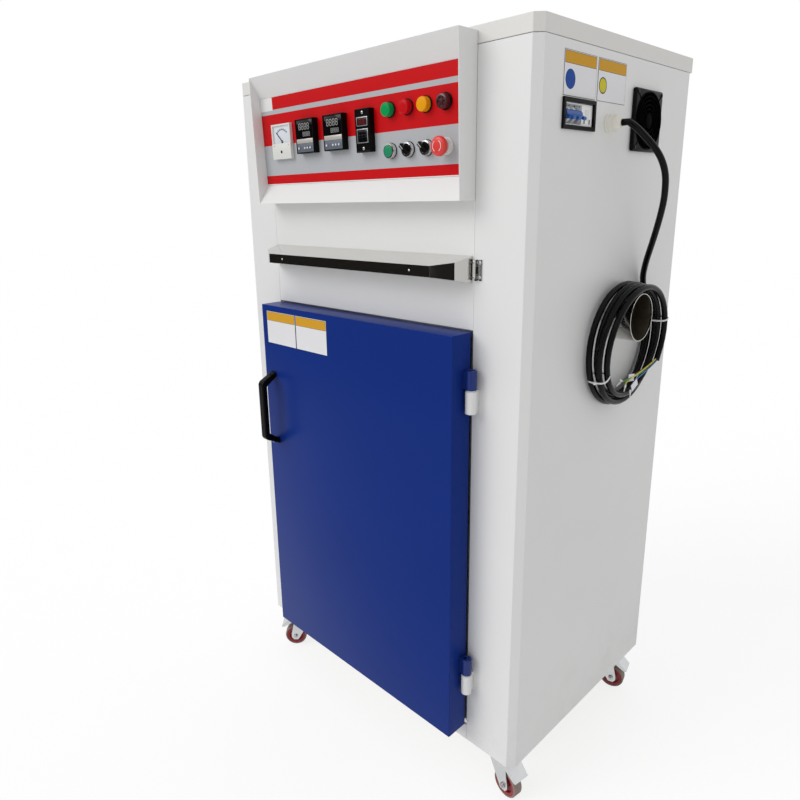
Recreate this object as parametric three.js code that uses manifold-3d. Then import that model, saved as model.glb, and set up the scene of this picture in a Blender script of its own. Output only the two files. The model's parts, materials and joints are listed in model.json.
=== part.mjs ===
// Laboratory oven: a cabinet dryer on four braked swivel casters, with a blue door hung on
// lift-off hinges, a leaning control box, a polished rail, an exhaust pipe and a coiled supply cord.
// Millimetres, +Z up. Inside the cabinet group x is centred, y = 0 is the front of the body and
// z = 0 is the floor. The group is then moved so that the origin lies under the middle of the whole.
// Heights of what stands above the door are measured from the door's top edge.
import * as THREE from 'three';
import { mergeVertices } from 'three/addons/utils/BufferGeometryUtils.js';
import Module from 'manifold-3d';

const wasm = await Module();
wasm.setup();

// Body
const cabinetWidth = 900;
const upperHeight = 516;
const rearRoom = 52.7;
const casterHeight = 133;
const capHeight = 31.5;
const capOverhang = 12;
const capSeam = 0.8;
const cornerChamfer = 15;
const postWidth = 128;
const postReturn = 22;
const rearFlange = 22;
const panelWall = 2;
const fitGap = 0.3;
const cutOverrun = 4;

// Base frame
const baseHeight = 40;
const baseTube = 40;
const casterPlateLength = 92;
const casterPlateWidth = 60;
const casterPlateWall = 3;
const kingPinRadius = 6;
const kingPinLength = 9;

// Door and its opening
const doorMargin = 130;
const doorHeight = 929;
const doorLift = 5;
const doorLap = 30;
const doorClearance = 3;
const doorStandOff = 61;
const doorWall = 2;
const doorSeat = 3;
const doorReturn = 20;
const innerPanelWall = 1.2;
const innerPanelInset = 6;
const plugReach = 8;
const plugInset = 14;
const gasketWidth = 18;
const gasketInset = 6;

// Hinges
const hingeOffset = 15;
const hingeStandOff = 20;
const knuckleRadius = 11.5;
const knuckleLength = 47;
const doorKnuckleLength = 40;
const hingeWasher = 2;
const hingePinRadius = 5;
const hingeBlockWidth = 18;
const upperHingeDrop = 113;
const lowerHingeRise = 155;

// Handle
const handleReach = 46;
const handleWidth = 20;
const handleGrip = 15;
const handleLength = 199;
const gripLength = 159;
const handleInset = 27;
const handleDrop = 271.5;

// Inner liner, insulation and trays
const linerSpread = 20;
const linerHeader = 96;
const linerWall = 1.5;
const linerLift = 20;
const topInsulation = 60;
const insulationFront = 24;
const trayCount = 3;
const trayPitch = 240;
const firstTrayHeight = 150;
const trayRim = 22;
const trayWall = 2;
const trayInset = 3;
const trayDepth = 500;
const trayRoom = 25;
const traySlotWidth = 12;
const traySlotCount = 9;
const runnerWidth = 24;
const runnerWall = 2;
const runnerFront = 20;
const ventSlotWidth = 10;
const ventSlotCount = 12;

// Air circulation above the baffle
const plenumHeight = 135;
const baffleWall = 1.5;
const baffleFlange = 15;
const baffleDoorGap = 4;
const blowerRadius = 95;
const blowerHeight = 60;
const blowerBlades = 12;
const blowerHubRadius = 18;
const blowerBladeDepth = 24;
const blowerWall = 2;
const blowerOffset = -90;
const blowerTopGap = 14;
const motorShaftRadius = 7;
const motorRadius = 62;
const motorHeight = 130;
const motorDome = 14;
const motorFlange = 160;
const motorFlangeWall = 5;
const shaftHoleRadius = 14;
const heaterTube = 10;
const heaterWidth = 150;
const heaterRoom = 75;
const heaterRuns = 3;
const heaterLeft = 110;
const heaterFront = 110;
const heaterDrop = 80;

// Control box and its label plate
const boxBottom = 250;
const boxTop = 539;
const boxTopReach = 54;
const boxBottomReach = 46;
const plateBottom = 294;
const plateTop = 494;
const plateTopReach = 27;
const plateBottomReach = 18.5;
const boxWall = 1.5;
const plateWall = 2;
const panelWindowInset = 20;

// Instruments on the label plate, measured from its centre
const instrumentDepth = 70;
const meterWidth = 73;
const meterHeight = 79;
const meterProud = 8;
const meterX = -237;
const meterRise = -2;
const meterNeckRadius = 33;
const needleLength = 30;
const needleWidth = 1.6;
const needleHubRadius = 3;
const needlePivotRadius = 1.2;
const dialDepth = 4;
const dialInset = 4;
const controllerWidth = 64;
const controllerHeight = 74;
const controllerProud = 16;
const controllerX = [-137, -38];
const controllerRise = 3;
const controllerNeckInset = 3;
const bezelLip = 2.5;
const bezelRecess = 2;
const timerWidth = 43;
const timerHeight = 85;
const timerProud = 15;
const timerX = 56;
const timerRise = -1;
const buttonPitch = 48.6;
const firstLampX = 124;
const lampRise = 32.5;
const lampRadius = 14.5;
const lampProud = 15;
const lampNeckRadius = 11;
const lampBevel = 3;
const buttonRise = -45;
const buttonRadius = 10.5;
const buttonProud = 12;
const buttonTravel = 4;
const knobRadius = 13.5;
const knobProud = 8;
const knobGripWidth = 9;
const knobGripHeight = 10;
const knobLean = 45;
const knobNeckRadius = 8;
const stopBaseRadius = 15;
const stopBaseProud = 14;
const stopHeadRadius = 20;
const stopHeadHeight = 13;
const stopStemRadius = 8;
const stopTravel = 5;

// Polished rail and its hinge
const railBottom = 95;
const railTop = 148;
const railFaceBottom = 109;
const railFaceTop = 131;
const railReach = 66;
const railEndGap = 4;
const railFaceInset = 57;
const railWall = 1.5;
const railPinShift = 8;
const railPinReach = 4.5;
const railPinRadius = 3.4;
const railLeafWidth = 11.5;
const railLeafWall = 1.6;
const railLeafHeight = 40;

// Exhaust pipe
const pipeRadius = 50;
const pipeWall = 1.5;
const pipeReach = 65;
const pipeDepth = 317;
const pipeHeight = 7.5;
const pipeInset = 4;

// Breaker behind its window
const breakerFront = 75;
const breakerWidth = 112;
const breakerBottom = 370;
const breakerHeight = 53;
const breakerFrame = 7;
const breakerProud = 5;
const breakerBodyDepth = 62;
const breakerPoles = 3;
const breakerPitch = 18;
const leverRadius = 8;
const leverReach = 20;
const leverWall = 5;
const leverBar = 5;
const leverAxleRadius = 2.5;
const leverRest = 25;

// Cooling fan
const fanSize = 121;
const fanFront = 334;
const fanBottom = 341;
const fanProud = 11;
const fanDepth = 36;
const fanWall = 3;
const fanBore = 54;
const fanHub = 17;
const fanRings = 1;
const fanRingWidth = 3;
const fanBlades = 5;
const fanBladeWidth = 22;
const fanBladeWall = 2;
const fanBladePitch = 35;
const fanSpindle = 4;

// Supply cord
const cordDiameter = 13;
const glandDepth = 245;
const glandHeight = 388;
const glandNut = 17;
const glandNutLength = 11;
const glandLength = 28;
const glandDome = 12.5;
const glandStem = 10;
const glandLockNut = 15;
const glandLockLength = 6;
const coilTurns = 4.1;
const coilSag = 18;
const coilFirstRadius = 127;
const coilLastRadius = 121;
const coilTopPitch = 14.4;
const coilBottomPitch = 8;
const coilLayer = 8;
const coilLayerShare = 0.6;
const coilPipeGap = 1;
const coilStartAngle = 15;

// Casters
const casterInset = 72;
const frontCasterInset = 58;
const rearCasterInset = 45;
const casterTrail = 28;
const wheelRadius = 33;
const wheelWidth = 25;
const treadDepth = 7;
const wheelDish = 4;
const axleRadius = 5;
const forkWall = 3;
const forkGap = 2.5;
const forkHeadRadius = 27;
const forkHeadHeight = 9;
const forkCrownDrop = 22;
const forkFoot = 13;
const pedalWall = 2.5;
const pedalEarGap = 0.6;
const pedalPinRadius = 4;
const pedalPinForward = 12;
const pedalPinDrop = 33;
const pedalTipReach = 68;
const pedalTipHeight = 68;
const pedalHeelHeight = 109;
const pedalHeelGap = 1.5;

// Facets of round shapes, as counts
const fineSides = 32;
const plainSides = 20;
const smallSides = 12;
const cordSides = 8;
const coilSides = 6;
const coilStepsPerTurn = 24;
const runSteps = 26;

const halfWidth = cabinetWidth / 2;
const doorBottom = casterHeight + baseHeight + doorLift;
const doorTop = doorBottom + doorHeight;
const bodyTop = doorTop + upperHeight;
const capTop = bodyTop + capHeight;
const doorWidth = cabinetWidth - doorMargin * 2;
const doorHalf = doorWidth / 2;
const openingWidth = doorWidth - doorLap * 2;
const linerWidth = openingWidth + linerSpread;
const postEdge = halfWidth - postWidth;
const railHalfLength = postEdge - railEndGap;
const railFaceHalf = postEdge - railFaceInset;
const railPinX = postEdge + railPinShift;
const coilDepth = pipeDepth + coilSag;
const openingHalf = openingWidth / 2;
const linerHalf = linerWidth / 2;
const linerDepth = runnerFront + trayDepth + trayRoom;
const linerFront = panelWall + fitGap;
const linerBack = linerFront + linerDepth;
const cabinetDepth = linerBack + rearRoom;

// The centre of the whole lies between the left side and the pipe's end, and between the handle's
// grip and the cap's rear edge.
const frontReach = doorStandOff + handleReach;
const group = new THREE.Group();
group.position.set(-pipeReach / 2, (frontReach - cabinetDepth - capOverhang) / 2, 0);

// Finishes
const FINISHES = {
  whitePaint: { color: 0xe6e7e6, roughness: 0.42, metalness: 0.0 },
  bluePaint: { color: 0x12307e, roughness: 0.4, metalness: 0.0 },
  galvanised: { color: 0xb9bcbe, roughness: 0.45, metalness: 0.9 },
  stainless: { color: 0xc3c2be, roughness: 0.28, metalness: 1.0 },
  mirrorSteel: { color: 0xd6d4cf, roughness: 0.06, metalness: 1.0 },
  zinc: { color: 0xd9dadb, roughness: 0.32, metalness: 0.85 },
  darkSteel: { color: 0x4c4f52, roughness: 0.5, metalness: 0.8 },
  silicone: { color: 0x8a2f22, roughness: 0.7, metalness: 0.0 },
  wool: { color: 0xcdb96a, roughness: 0.95, metalness: 0.0 },
  blackPlastic: { color: 0x161618, roughness: 0.45, metalness: 0.0 },
  whitePlastic: { color: 0xe9e9e4, roughness: 0.4, metalness: 0.0 },
  nylon: { color: 0xe3dfd0, roughness: 0.5, metalness: 0.0 },
  labelRed: { color: 0xc41a1c, roughness: 0.35, metalness: 0.0 },
  lampGreen: { color: 0x139a48, roughness: 0.2, metalness: 0.0 },
  lampRed: { color: 0xc8262b, roughness: 0.2, metalness: 0.0 },
  lampYellow: { color: 0xe5a312, roughness: 0.2, metalness: 0.0 },
  buzzerRed: { color: 0x5b1a22, roughness: 0.35, metalness: 0.0 },
  buttonGreen: { color: 0x1c8f62, roughness: 0.4, metalness: 0.0 },
  stopRed: { color: 0xe3382f, roughness: 0.35, metalness: 0.0 },
  toggleBlue: { color: 0x1f5fb0, roughness: 0.4, metalness: 0.0 },
  cordRubber: { color: 0x121214, roughness: 0.4, metalness: 0.0 },
  wheelRed: { color: 0x9c2a30, roughness: 0.5, metalness: 0.0 },
  motorGrey: { color: 0x5d6a72, roughness: 0.5, metalness: 0.3 },
};

// A shape's plane decides where its two outline axes point and which way it is extruded.
const PLANES = {
  xy: { basis: new THREE.Matrix4(), sign: 1 },
  yz: { basis: new THREE.Matrix4().makeBasis(axisVector(1), axisVector(2), axisVector(0)), sign: 1 },
  xz: {
    basis: new THREE.Matrix4().makeBasis(axisVector(0), axisVector(2), axisVector(1).negate()),
    sign: -1,
  },
};

function axisVector(index) {
  return new THREE.Vector3().setComponent(index, 1);
}

// A closed triangle geometry becomes a solid that can be joined and cut.
function solidOf(geometry) {
  const bare = geometry.clone();
  bare.deleteAttribute('normal');
  bare.deleteAttribute('uv');
  const merged = mergeVertices(bare);
  const mesh = new wasm.Mesh({
    numProp: 3,
    vertProperties: new Float32Array(merged.attributes.position.array),
    triVerts: new Uint32Array(merged.index.array),
  });
  return new wasm.Manifold(mesh);
}

function geometryOf(solid) {
  const mesh = solid.getMesh();
  const geometry = new THREE.BufferGeometry();
  geometry.setAttribute('position', new THREE.Float32BufferAttribute(mesh.vertProperties, mesh.numProp));
  geometry.setIndex(Array.from(mesh.triVerts));
  return geometry;
}

function join(...solids) {
  return solids.reduce((whole, piece) => whole.add(piece));
}

function cut(whole, ...tools) {
  return tools.reduce((rest, tool) => rest.subtract(tool), whole);
}

// A block between the given pairs of x, y and z.
function block(xs, ys, zs) {
  const geometry = new THREE.BoxGeometry(xs[1] - xs[0], ys[1] - ys[0], zs[1] - zs[0]);
  geometry.translate((xs[0] + xs[1]) / 2, (ys[0] + ys[1]) / 2, (zs[0] + zs[1]) / 2);
  return solidOf(geometry);
}

function span(centre, size) {
  return [centre - size / 2, centre + size / 2];
}

// An outline in a plane, extruded along the third axis between two places.
function prism(plane, outline, places) {
  const { basis, sign } = PLANES[plane];
  const shape = new THREE.Shape(outline.map(([u, v]) => new THREE.Vector2(u, v)));
  const depth = Math.abs(places[1] - places[0]);
  const geometry = new THREE.ExtrudeGeometry(shape, { depth, bevelEnabled: false });
  geometry.translate(0, 0, Math.min(sign * places[0], sign * places[1]));
  geometry.applyMatrix4(basis);
  return solidOf(geometry);
}

// A regular outline with a flat towards each outline axis.
function roundOutline(centre, radius, sides) {
  const points = [];
  for (let i = 0; i < sides; i += 1) {
    const angle = ((i + 0.5) / sides) * Math.PI * 2;
    points.push([centre[0] + radius * Math.cos(angle), centre[1] + radius * Math.sin(angle)]);
  }
  return points;
}

function rod(plane, centre, radius, places, sides) {
  return prism(plane, roundOutline(centre, radius, sides), places);
}

function rectangle(us, vs) {
  return [[us[0], vs[0]], [us[1], vs[0]], [us[1], vs[1]], [us[0], vs[1]]];
}

// The outline of a folded sheet: a path, and the same path moved to its left by the sheet's wall.
function sheetOutline(path, wall) {
  const points = path.map(([u, v]) => new THREE.Vector2(u, v));
  const left = points.map((point, i) => {
    const before = i > 0 ? point.clone().sub(points[i - 1]).normalize() : null;
    const after = i < points.length - 1 ? points[i + 1].clone().sub(point).normalize() : null;
    const first = before ?? after;
    const second = after ?? before;
    const normal = new THREE.Vector2(-first.y - second.y, first.x + second.x).normalize();
    const stretch = normal.dot(new THREE.Vector2(-first.y, first.x));
    return point.clone().addScaledVector(normal, wall / stretch);
  });
  return [...points, ...left.reverse()].map((point) => [point.x, point.y]);
}

// A profile of radius and height pairs, turned about an axis through the given centre.
function turned(profile, axis, centre, sides) {
  const points = profile.map(([radius, height]) => new THREE.Vector2(radius, height));
  const geometry = new THREE.LatheGeometry(points, sides, Math.PI / sides);
  if (axis === 'x') {
    geometry.rotateZ(-Math.PI / 2);
  } else if (axis === 'z') {
    geometry.rotateX(Math.PI / 2);
  }
  geometry.translate(centre[0], centre[1], centre[2]);
  return solidOf(geometry);
}

function addMesh(parent, name, solid, finish) {
  const { color, roughness, metalness } = FINISHES[finish];
  const material = new THREE.MeshStandardMaterial({ color, roughness, metalness });
  const geometry = solid instanceof THREE.BufferGeometry ? solid : geometryOf(solid);
  const mesh = new THREE.Mesh(geometry, material);
  mesh.name = name;
  parent.add(mesh);
  return mesh;
}

// Shared places of the liner and what passes through its walls
const linerBottom = casterHeight + baseHeight + linerLift;
const openingBottom = doorBottom + doorLap;
const openingTop = doorTop - doorLap;
const linerTop = openingTop + linerHeader;
const insulationTop = linerTop + linerWall + fitGap + topInsulation;
const baffleHeight = linerTop - plenumHeight;
const pipeZ = doorTop + pipeHeight;
const blowerY = linerFront + linerDepth / 2;
const heaterLength = linerDepth - heaterFront - heaterRoom;
const heaterHoles = [heaterLeft, heaterLeft + heaterWidth];
const heaterZ = linerTop - heaterDrop;
const upperHingeHeight = doorTop - upperHingeDrop;
const lowerHingeHeight = doorBottom + lowerHingeRise;
const breakerZ = doorTop + breakerBottom + breakerHeight / 2;
const fanCentre = [fanFront + fanSize / 2, doorTop + fanBottom + fanSize / 2];

// Body
function makeSidePanel(side) {
  const path = [
    [side * (halfWidth - rearFlange), cabinetDepth],
    [side * halfWidth, cabinetDepth],
    [side * halfWidth, cornerChamfer],
    [side * (halfWidth - cornerChamfer), 0],
    [side * postEdge, 0],
    [side * postEdge, postReturn],
  ];
  const panel = prism('xy', sheetOutline(path, -side * panelWall), [casterHeight, bodyTop]);
  if (side < 0) {
    return panel;
  }
  const wall = [halfWidth - panelWall - cutOverrun, halfWidth + cutOverrun];
  const window = rectangle(
    [breakerFront + breakerFrame, breakerFront + breakerWidth - breakerFrame],
    [breakerZ - breakerHeight / 2 + breakerFrame, breakerZ + breakerHeight / 2 - breakerFrame],
  );
  return cut(
    panel,
    rod('yz', [pipeDepth, pipeZ], pipeRadius + fitGap, wall, fineSides),
    rod('yz', [fanCentre[0], fanCentre[1]], fanBore + fanWall + fitGap, wall, fineSides),
    rod('yz', [glandDepth, doorTop + glandHeight], glandStem + fitGap, wall, plainSides),
    prism('yz', window, wall),
  );
}

function makeRearPanel() {
  const rear = cabinetDepth - panelWall - fitGap;
  const side = halfWidth - panelWall - fitGap;
  return block([-side, side], [rear - panelWall, rear], [casterHeight, capTop - panelWall - fitGap]);
}

// The body's plan with its two chamfered front corners, drawn in by an inset
function bodyPlan(inset, rear) {
  const side = halfWidth - inset;
  const chamfer = cornerChamfer - inset * (2 - Math.SQRT2);
  return [
    [-side, rear],
    [side, rear],
    [side, inset + chamfer],
    [side - chamfer, inset],
    [-side + chamfer, inset],
    [-side, inset + chamfer],
  ];
}

function makeTopCap() {
  const rear = cabinetDepth + capOverhang;
  const outer = prism('xy', bodyPlan(0, rear), [bodyTop + capSeam, capTop]);
  const inside = [bodyTop - cutOverrun, capTop - panelWall];
  return cut(outer, prism('xy', bodyPlan(panelWall, rear - panelWall), inside));
}

function makeUpperFrontPanel() {
  const side = postEdge - fitGap;
  const panel = block([-side, side], [0, panelWall], [doorTop + doorClearance, bodyTop]);
  const window = block(
    [-side + panelWindowInset, side - panelWindowInset],
    [-cutOverrun, panelWall + cutOverrun],
    [doorTop + plateBottom + panelWindowInset, doorTop + plateTop - panelWindowInset / 2],
  );
  return cut(panel, window);
}

// A ring of square tube with the casters' bolt plates below it and the sill between the posts.
function makeBaseFrame() {
  const side = halfWidth - panelWall - fitGap;
  const front = panelWall + fitGap;
  const rear = cabinetDepth - fitGap - panelWall - fitGap - panelWall;
  const heights = [casterHeight, casterHeight + baseHeight];
  const ring = cut(
    prism('xy', bodyPlan(front, rear), heights),
    block(
      [-side + baseTube, side - baseTube],
      [front + baseTube, rear - baseTube],
      [heights[0] - cutOverrun, heights[1] + cutOverrun],
    ),
  );
  const returns = [-1, 1].map((sign) => block(
    span(sign * (postEdge + panelWall / 2), panelWall + fitGap * 2),
    [front - cutOverrun, postReturn + fitGap],
    [heights[0] - cutOverrun, heights[1] + cutOverrun],
  ));
  const flanges = [-1, 1].map((sign) => block(
    span(sign * (halfWidth - rearFlange / 2), rearFlange + fitGap * 2),
    [rear - fitGap, cabinetDepth],
    heights,
  ));
  const sill = block([-postEdge + fitGap, postEdge - fitGap], [0, front + fitGap], heights);
  const plates = casterPlaces.map(({ x, y }) => block(
    span(x, casterPlateLength),
    span(y, casterPlateWidth),
    [casterHeight - casterPlateWall, casterHeight + fitGap],
  ));
  const pads = casterPlaces.map(({ x, y }) => block(
    span(x, casterPlateLength),
    span(y, casterPlateWidth),
    [casterHeight, casterHeight + casterPlateWall],
  ));
  const pinHeights = [casterHeight - casterPlateWall - kingPinLength, casterHeight];
  const kingPins = casterPlaces.map(({ x, y }) => rod('xy', [x, y], kingPinRadius, pinHeights, smallSides));
  return join(cut(ring, ...returns, ...flanges), sill, ...plates, ...pads, ...kingPins);
}

// Inner liner with its front flange, tray runners and the holes for pipe, shaft and heater
function makeLiner() {
  const shell = cut(
    block(
      [-linerHalf - linerWall, linerHalf + linerWall],
      [linerFront, linerBack + linerWall],
      [linerBottom - linerWall, linerTop + linerWall],
    ),
    block([-linerHalf, linerHalf], [linerFront + linerWall, linerBack], [linerBottom, linerTop]),
  );
  const flangeSide = postEdge - fitGap;
  const flange = block(
    [-flangeSide, flangeSide],
    [linerFront, linerFront + linerWall],
    [casterHeight + baseHeight + fitGap, linerTop + linerWall],
  );
  const runners = [];
  for (let i = 0; i < trayCount; i += 1) {
    const top = linerBottom + firstTrayHeight + i * trayPitch;
    for (const sign of [-1, 1]) {
      runners.push(block(
        span(sign * (linerHalf - runnerWidth / 2), runnerWidth + linerWall),
        [linerFront + runnerFront, linerBack - runnerFront],
        [top - runnerWall, top],
      ));
    }
  }
  const opening = block(
    [-openingHalf, openingHalf],
    [linerFront - cutOverrun, linerFront + linerWall],
    [openingBottom, openingTop],
  );
  const ceiling = [linerTop - cutOverrun, linerTop + linerWall + cutOverrun];
  const heaterBores = heaterHoles.map((x) => (
    rod('xy', [x, heaterFront], heaterTube / 2 + fitGap, ceiling, smallSides)
  ));
  return cut(
    join(shell, flange, ...runners),
    opening,
    rod('yz', [pipeDepth, pipeZ], pipeRadius + fitGap,
      [linerHalf - cutOverrun, linerHalf + linerWall + cutOverrun], fineSides),
    rod('xy', [blowerOffset, blowerY], shaftHoleRadius, ceiling, plainSides),
    ...heaterBores,
  );
}

function makeInsulation() {
  const side = halfWidth - panelWall - fitGap;
  const rear = cabinetDepth - fitGap - panelWall - fitGap - panelWall;
  const around = linerWall + fitGap;
  const above = [linerTop, insulationTop + cutOverrun];
  const heaterBores = heaterHoles.map((x) => (
    rod('xy', [x, heaterFront], heaterTube / 2 + fitGap, above, smallSides)
  ));
  return cut(
    block([-side, side], [insulationFront, rear], [casterHeight + baseHeight + fitGap, insulationTop]),
    block(
      [-linerHalf - around, linerHalf + around],
      [insulationFront - cutOverrun, linerBack + around],
      [linerBottom - around, linerTop + around],
    ),
    rod('yz', [pipeDepth, pipeZ], pipeRadius + fitGap, [linerHalf, halfWidth + cutOverrun], fineSides),
    rod('xy', [blowerOffset, blowerY], shaftHoleRadius, above, plainSides),
    ...heaterBores,
  );
}

function makeTray(index) {
  const runnerTop = linerBottom + firstTrayHeight + index * trayPitch;
  const half = openingHalf - trayInset;
  const bottom = runnerTop + fitGap;
  const front = linerFront + runnerFront;
  const pan = cut(
    block([-half, half], [front, front + trayDepth], [bottom, bottom + trayRim]),
    block(
      [-half + trayWall, half - trayWall],
      [front + trayWall, front + trayDepth - trayWall],
      [bottom + trayWall, bottom + trayRim + cutOverrun],
    ),
  );
  const pitch = (half * 2 - runnerWidth * 2) / traySlotCount;
  const slots = [];
  for (let i = 0; i < traySlotCount; i += 1) {
    const x = -half + runnerWidth + pitch * (i + 0.5);
    slots.push(block(
      span(x, traySlotWidth),
      [front + runnerWidth, front + trayDepth - runnerWidth],
      [bottom - cutOverrun, bottom + trayWall + cutOverrun],
    ));
  }
  return cut(pan, ...slots);
}

function makeAirBaffle() {
  const half = linerHalf - fitGap;
  const depths = [plugReach + baffleDoorGap, linerBack - fitGap];
  const heights = [baffleHeight - baffleFlange, baffleHeight + baffleWall];
  const plate = cut(
    block([-half, half], depths, heights),
    block(
      [-half + baffleWall, half - baffleWall],
      [depths[0] - cutOverrun, depths[1] - baffleWall],
      [heights[0] - cutOverrun, baffleHeight],
    ),
  );
  const pitch = (half * 2 - runnerWidth * 2) / ventSlotCount;
  const slots = [];
  for (let i = 0; i < ventSlotCount; i += 1) {
    slots.push(block(
      span(-half + runnerWidth + pitch * (i + 0.5), ventSlotWidth),
      [depths[1] - heaterLength / 2, depths[1] - runnerWidth],
      [heights[0] - cutOverrun, heights[1] + cutOverrun],
    ));
  }
  const intake = rod('xy', [blowerOffset, blowerY], blowerRadius - blowerBladeDepth,
    [baffleHeight - cutOverrun, heights[1] + cutOverrun], plainSides);
  return cut(plate, intake, ...slots);
}

// Circulation blower: a bladed wheel on a vertical shaft, driven by the motor above the insulation
const blowerTop = linerTop - blowerTopGap;

function makeBlowerWheel() {
  const centre = [blowerOffset, blowerY];
  const bottom = blowerTop - blowerHeight;
  const disc = rod('xy', centre, blowerRadius, [blowerTop - blowerWall, blowerTop], plainSides);
  const hub = rod('xy', centre, blowerHubRadius, [blowerTop - blowerHeight / 2, blowerTop], plainSides);
  const rim = cut(
    rod('xy', centre, blowerRadius, [bottom, bottom + blowerWall], plainSides),
    rod('xy', centre, blowerRadius - blowerBladeDepth,
      [bottom - cutOverrun, bottom + blowerWall + cutOverrun], plainSides),
  );
  const blades = [];
  for (let i = 0; i < blowerBlades; i += 1) {
    const height = blowerHeight - blowerWall;
    const blade = new THREE.BoxGeometry(blowerBladeDepth - blowerWall, blowerWall, height);
    blade.translate(blowerRadius - blowerBladeDepth / 2 - blowerWall, 0, 0);
    blade.rotateZ((i / blowerBlades) * Math.PI * 2);
    blade.translate(centre[0], centre[1], blowerTop - blowerHeight / 2);
    blades.push(solidOf(blade));
  }
  const bore = rod('xy', centre, motorShaftRadius + fitGap,
    [blowerTop - blowerHeight, blowerTop + cutOverrun], smallSides);
  return cut(join(disc, hub, rim, ...blades), bore);
}

function makeBlowerMotor() {
  const seat = insulationTop + fitGap;
  const centre = [blowerOffset, blowerY];
  const flangeHeights = [seat, seat + motorFlangeWall];
  const flange = block(span(centre[0], motorFlange), span(centre[1], motorFlange), flangeHeights);
  const profile = [
    [0, 0],
    [motorRadius, 0],
    [motorRadius, motorHeight - motorDome],
    [motorRadius - motorDome, motorHeight],
    [0, motorHeight],
  ];
  const body = turned(profile, 'z', [centre[0], centre[1], seat], plainSides);
  const shaft = rod('xy', centre, motorShaftRadius,
    [blowerTop - blowerHeight / 2, seat + motorFlangeWall], smallSides);
  return join(flange, body, shaft);
}

// Tubular heater: it drops through the ceiling, runs to and fro in the plenum and goes up again.
function makeHeater() {
  const top = insulationTop + heaterTube;
  const back = heaterFront + heaterLength;
  const bend = heaterTube * 2;
  const pitch = heaterWidth / heaterRuns;
  const points = [new THREE.Vector3(heaterLeft, heaterFront, top)];
  points.push(new THREE.Vector3(heaterLeft, heaterFront, heaterZ + bend));
  for (let i = 0; i <= heaterRuns; i += 1) {
    const x = heaterLeft + pitch * i;
    const near = new THREE.Vector3(x, heaterFront + bend, heaterZ);
    const far = new THREE.Vector3(x, back, heaterZ);
    points.push(...(i % 2 === 0 ? [near, far] : [far, near]));
  }
  points.push(new THREE.Vector3(heaterLeft + heaterWidth, heaterFront, heaterZ + bend));
  points.push(new THREE.Vector3(heaterLeft + heaterWidth, heaterFront, top));
  return sweep(points, heaterTube / 2, cordSides);
}

// A closed tube whose rings stand at the given points, square to the path.
function sweep(points, radius, sides) {
  const frames = [];
  let normal = null;
  points.forEach((point, i) => {
    const before = points[Math.max(i - 1, 0)];
    const after = points[Math.min(i + 1, points.length - 1)];
    const arrive = point.clone().sub(before).normalize();
    const leave = after.clone().sub(point).normalize();
    const tangent = arrive.add(leave).normalize();
    if (normal === null) {
      const guide = Math.abs(tangent.x) < Math.abs(tangent.z) ? axisVector(0) : axisVector(2);
      normal = guide.clone().cross(tangent).normalize();
    }
    normal = normal.clone().addScaledVector(tangent, -normal.dot(tangent)).normalize();
    frames.push({ point, up: normal, side: tangent.clone().cross(normal) });
  });
  const positions = [];
  frames.forEach(({ point, up, side }) => {
    for (let i = 0; i < sides; i += 1) {
      const angle = (i / sides) * Math.PI * 2;
      const spot = point.clone()
        .addScaledVector(up, radius * Math.cos(angle))
        .addScaledVector(side, radius * Math.sin(angle));
      positions.push(spot.x, spot.y, spot.z);
    }
  });
  const start = positions.length / 3;
  positions.push(points[0].x, points[0].y, points[0].z);
  const last = points[points.length - 1];
  positions.push(last.x, last.y, last.z);
  const index = [];
  for (let ring = 0; ring < points.length - 1; ring += 1) {
    for (let i = 0; i < sides; i += 1) {
      const next = (i + 1) % sides;
      const a = ring * sides + i;
      const b = ring * sides + next;
      index.push(a, b, b + sides, a, b + sides, a + sides);
    }
  }
  for (let i = 0; i < sides; i += 1) {
    const next = (i + 1) % sides;
    const tail = (points.length - 1) * sides;
    index.push(start, next, i);
    index.push(start + 1, tail + i, tail + next);
  }
  const geometry = new THREE.BufferGeometry();
  geometry.setAttribute('position', new THREE.Float32BufferAttribute(positions, 3));
  geometry.setIndex(index);
  return geometry;
}

// Door
const doorBack = -doorSeat - innerPanelWall - fitGap;
const hingeX = doorHalf + hingeOffset;

function makeDoorShell() {
  const shell = cut(
    block([-doorHalf, doorHalf], [-doorStandOff, doorBack], [doorBottom, doorTop]),
    block(
      [-doorHalf + doorWall, doorHalf - doorWall],
      [-doorStandOff + doorWall, doorBack - doorWall],
      [doorBottom + doorWall, doorTop - doorWall],
    ),
    block(
      [-doorHalf + doorReturn, doorHalf - doorReturn],
      [doorBack - doorWall - cutOverrun, doorBack + cutOverrun],
      [doorBottom + doorReturn, doorTop - doorReturn],
    ),
  );
  const knuckles = [upperHingeHeight, lowerHingeHeight].map((height) => {
    const foot = height + hingeWasher / 2 + fitGap;
    const places = [foot, foot + doorKnuckleLength];
    const barrel = rod('xy', [hingeX, -hingeStandOff], knuckleRadius, places, plainSides);
    const weld = block([doorHalf - doorWall, hingeX], span(-hingeStandOff, hingeBlockWidth / 2), places);
    const bore = rod('xy', [hingeX, -hingeStandOff], hingePinRadius + fitGap,
      [places[0] - cutOverrun, places[1] - hingeWasher * 2], smallSides);
    return cut(join(barrel, weld), bore);
  });
  return join(shell, ...knuckles);
}

function makeDoorInnerPanel() {
  const side = doorHalf - innerPanelInset;
  const plate = block(
    [-side, side],
    [-doorSeat - innerPanelWall, -doorSeat],
    [doorBottom + innerPanelInset, doorTop - innerPanelInset],
  );
  const plug = (inset, reach) => block(
    [-openingHalf + plugInset + inset, openingHalf - plugInset - inset],
    [-doorSeat - innerPanelWall - inset * cutOverrun, reach],
    [openingBottom + plugInset + inset, openingTop - plugInset - inset],
  );
  return cut(join(plate, plug(0, plugReach)), plug(innerPanelWall, plugReach - innerPanelWall));
}

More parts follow.
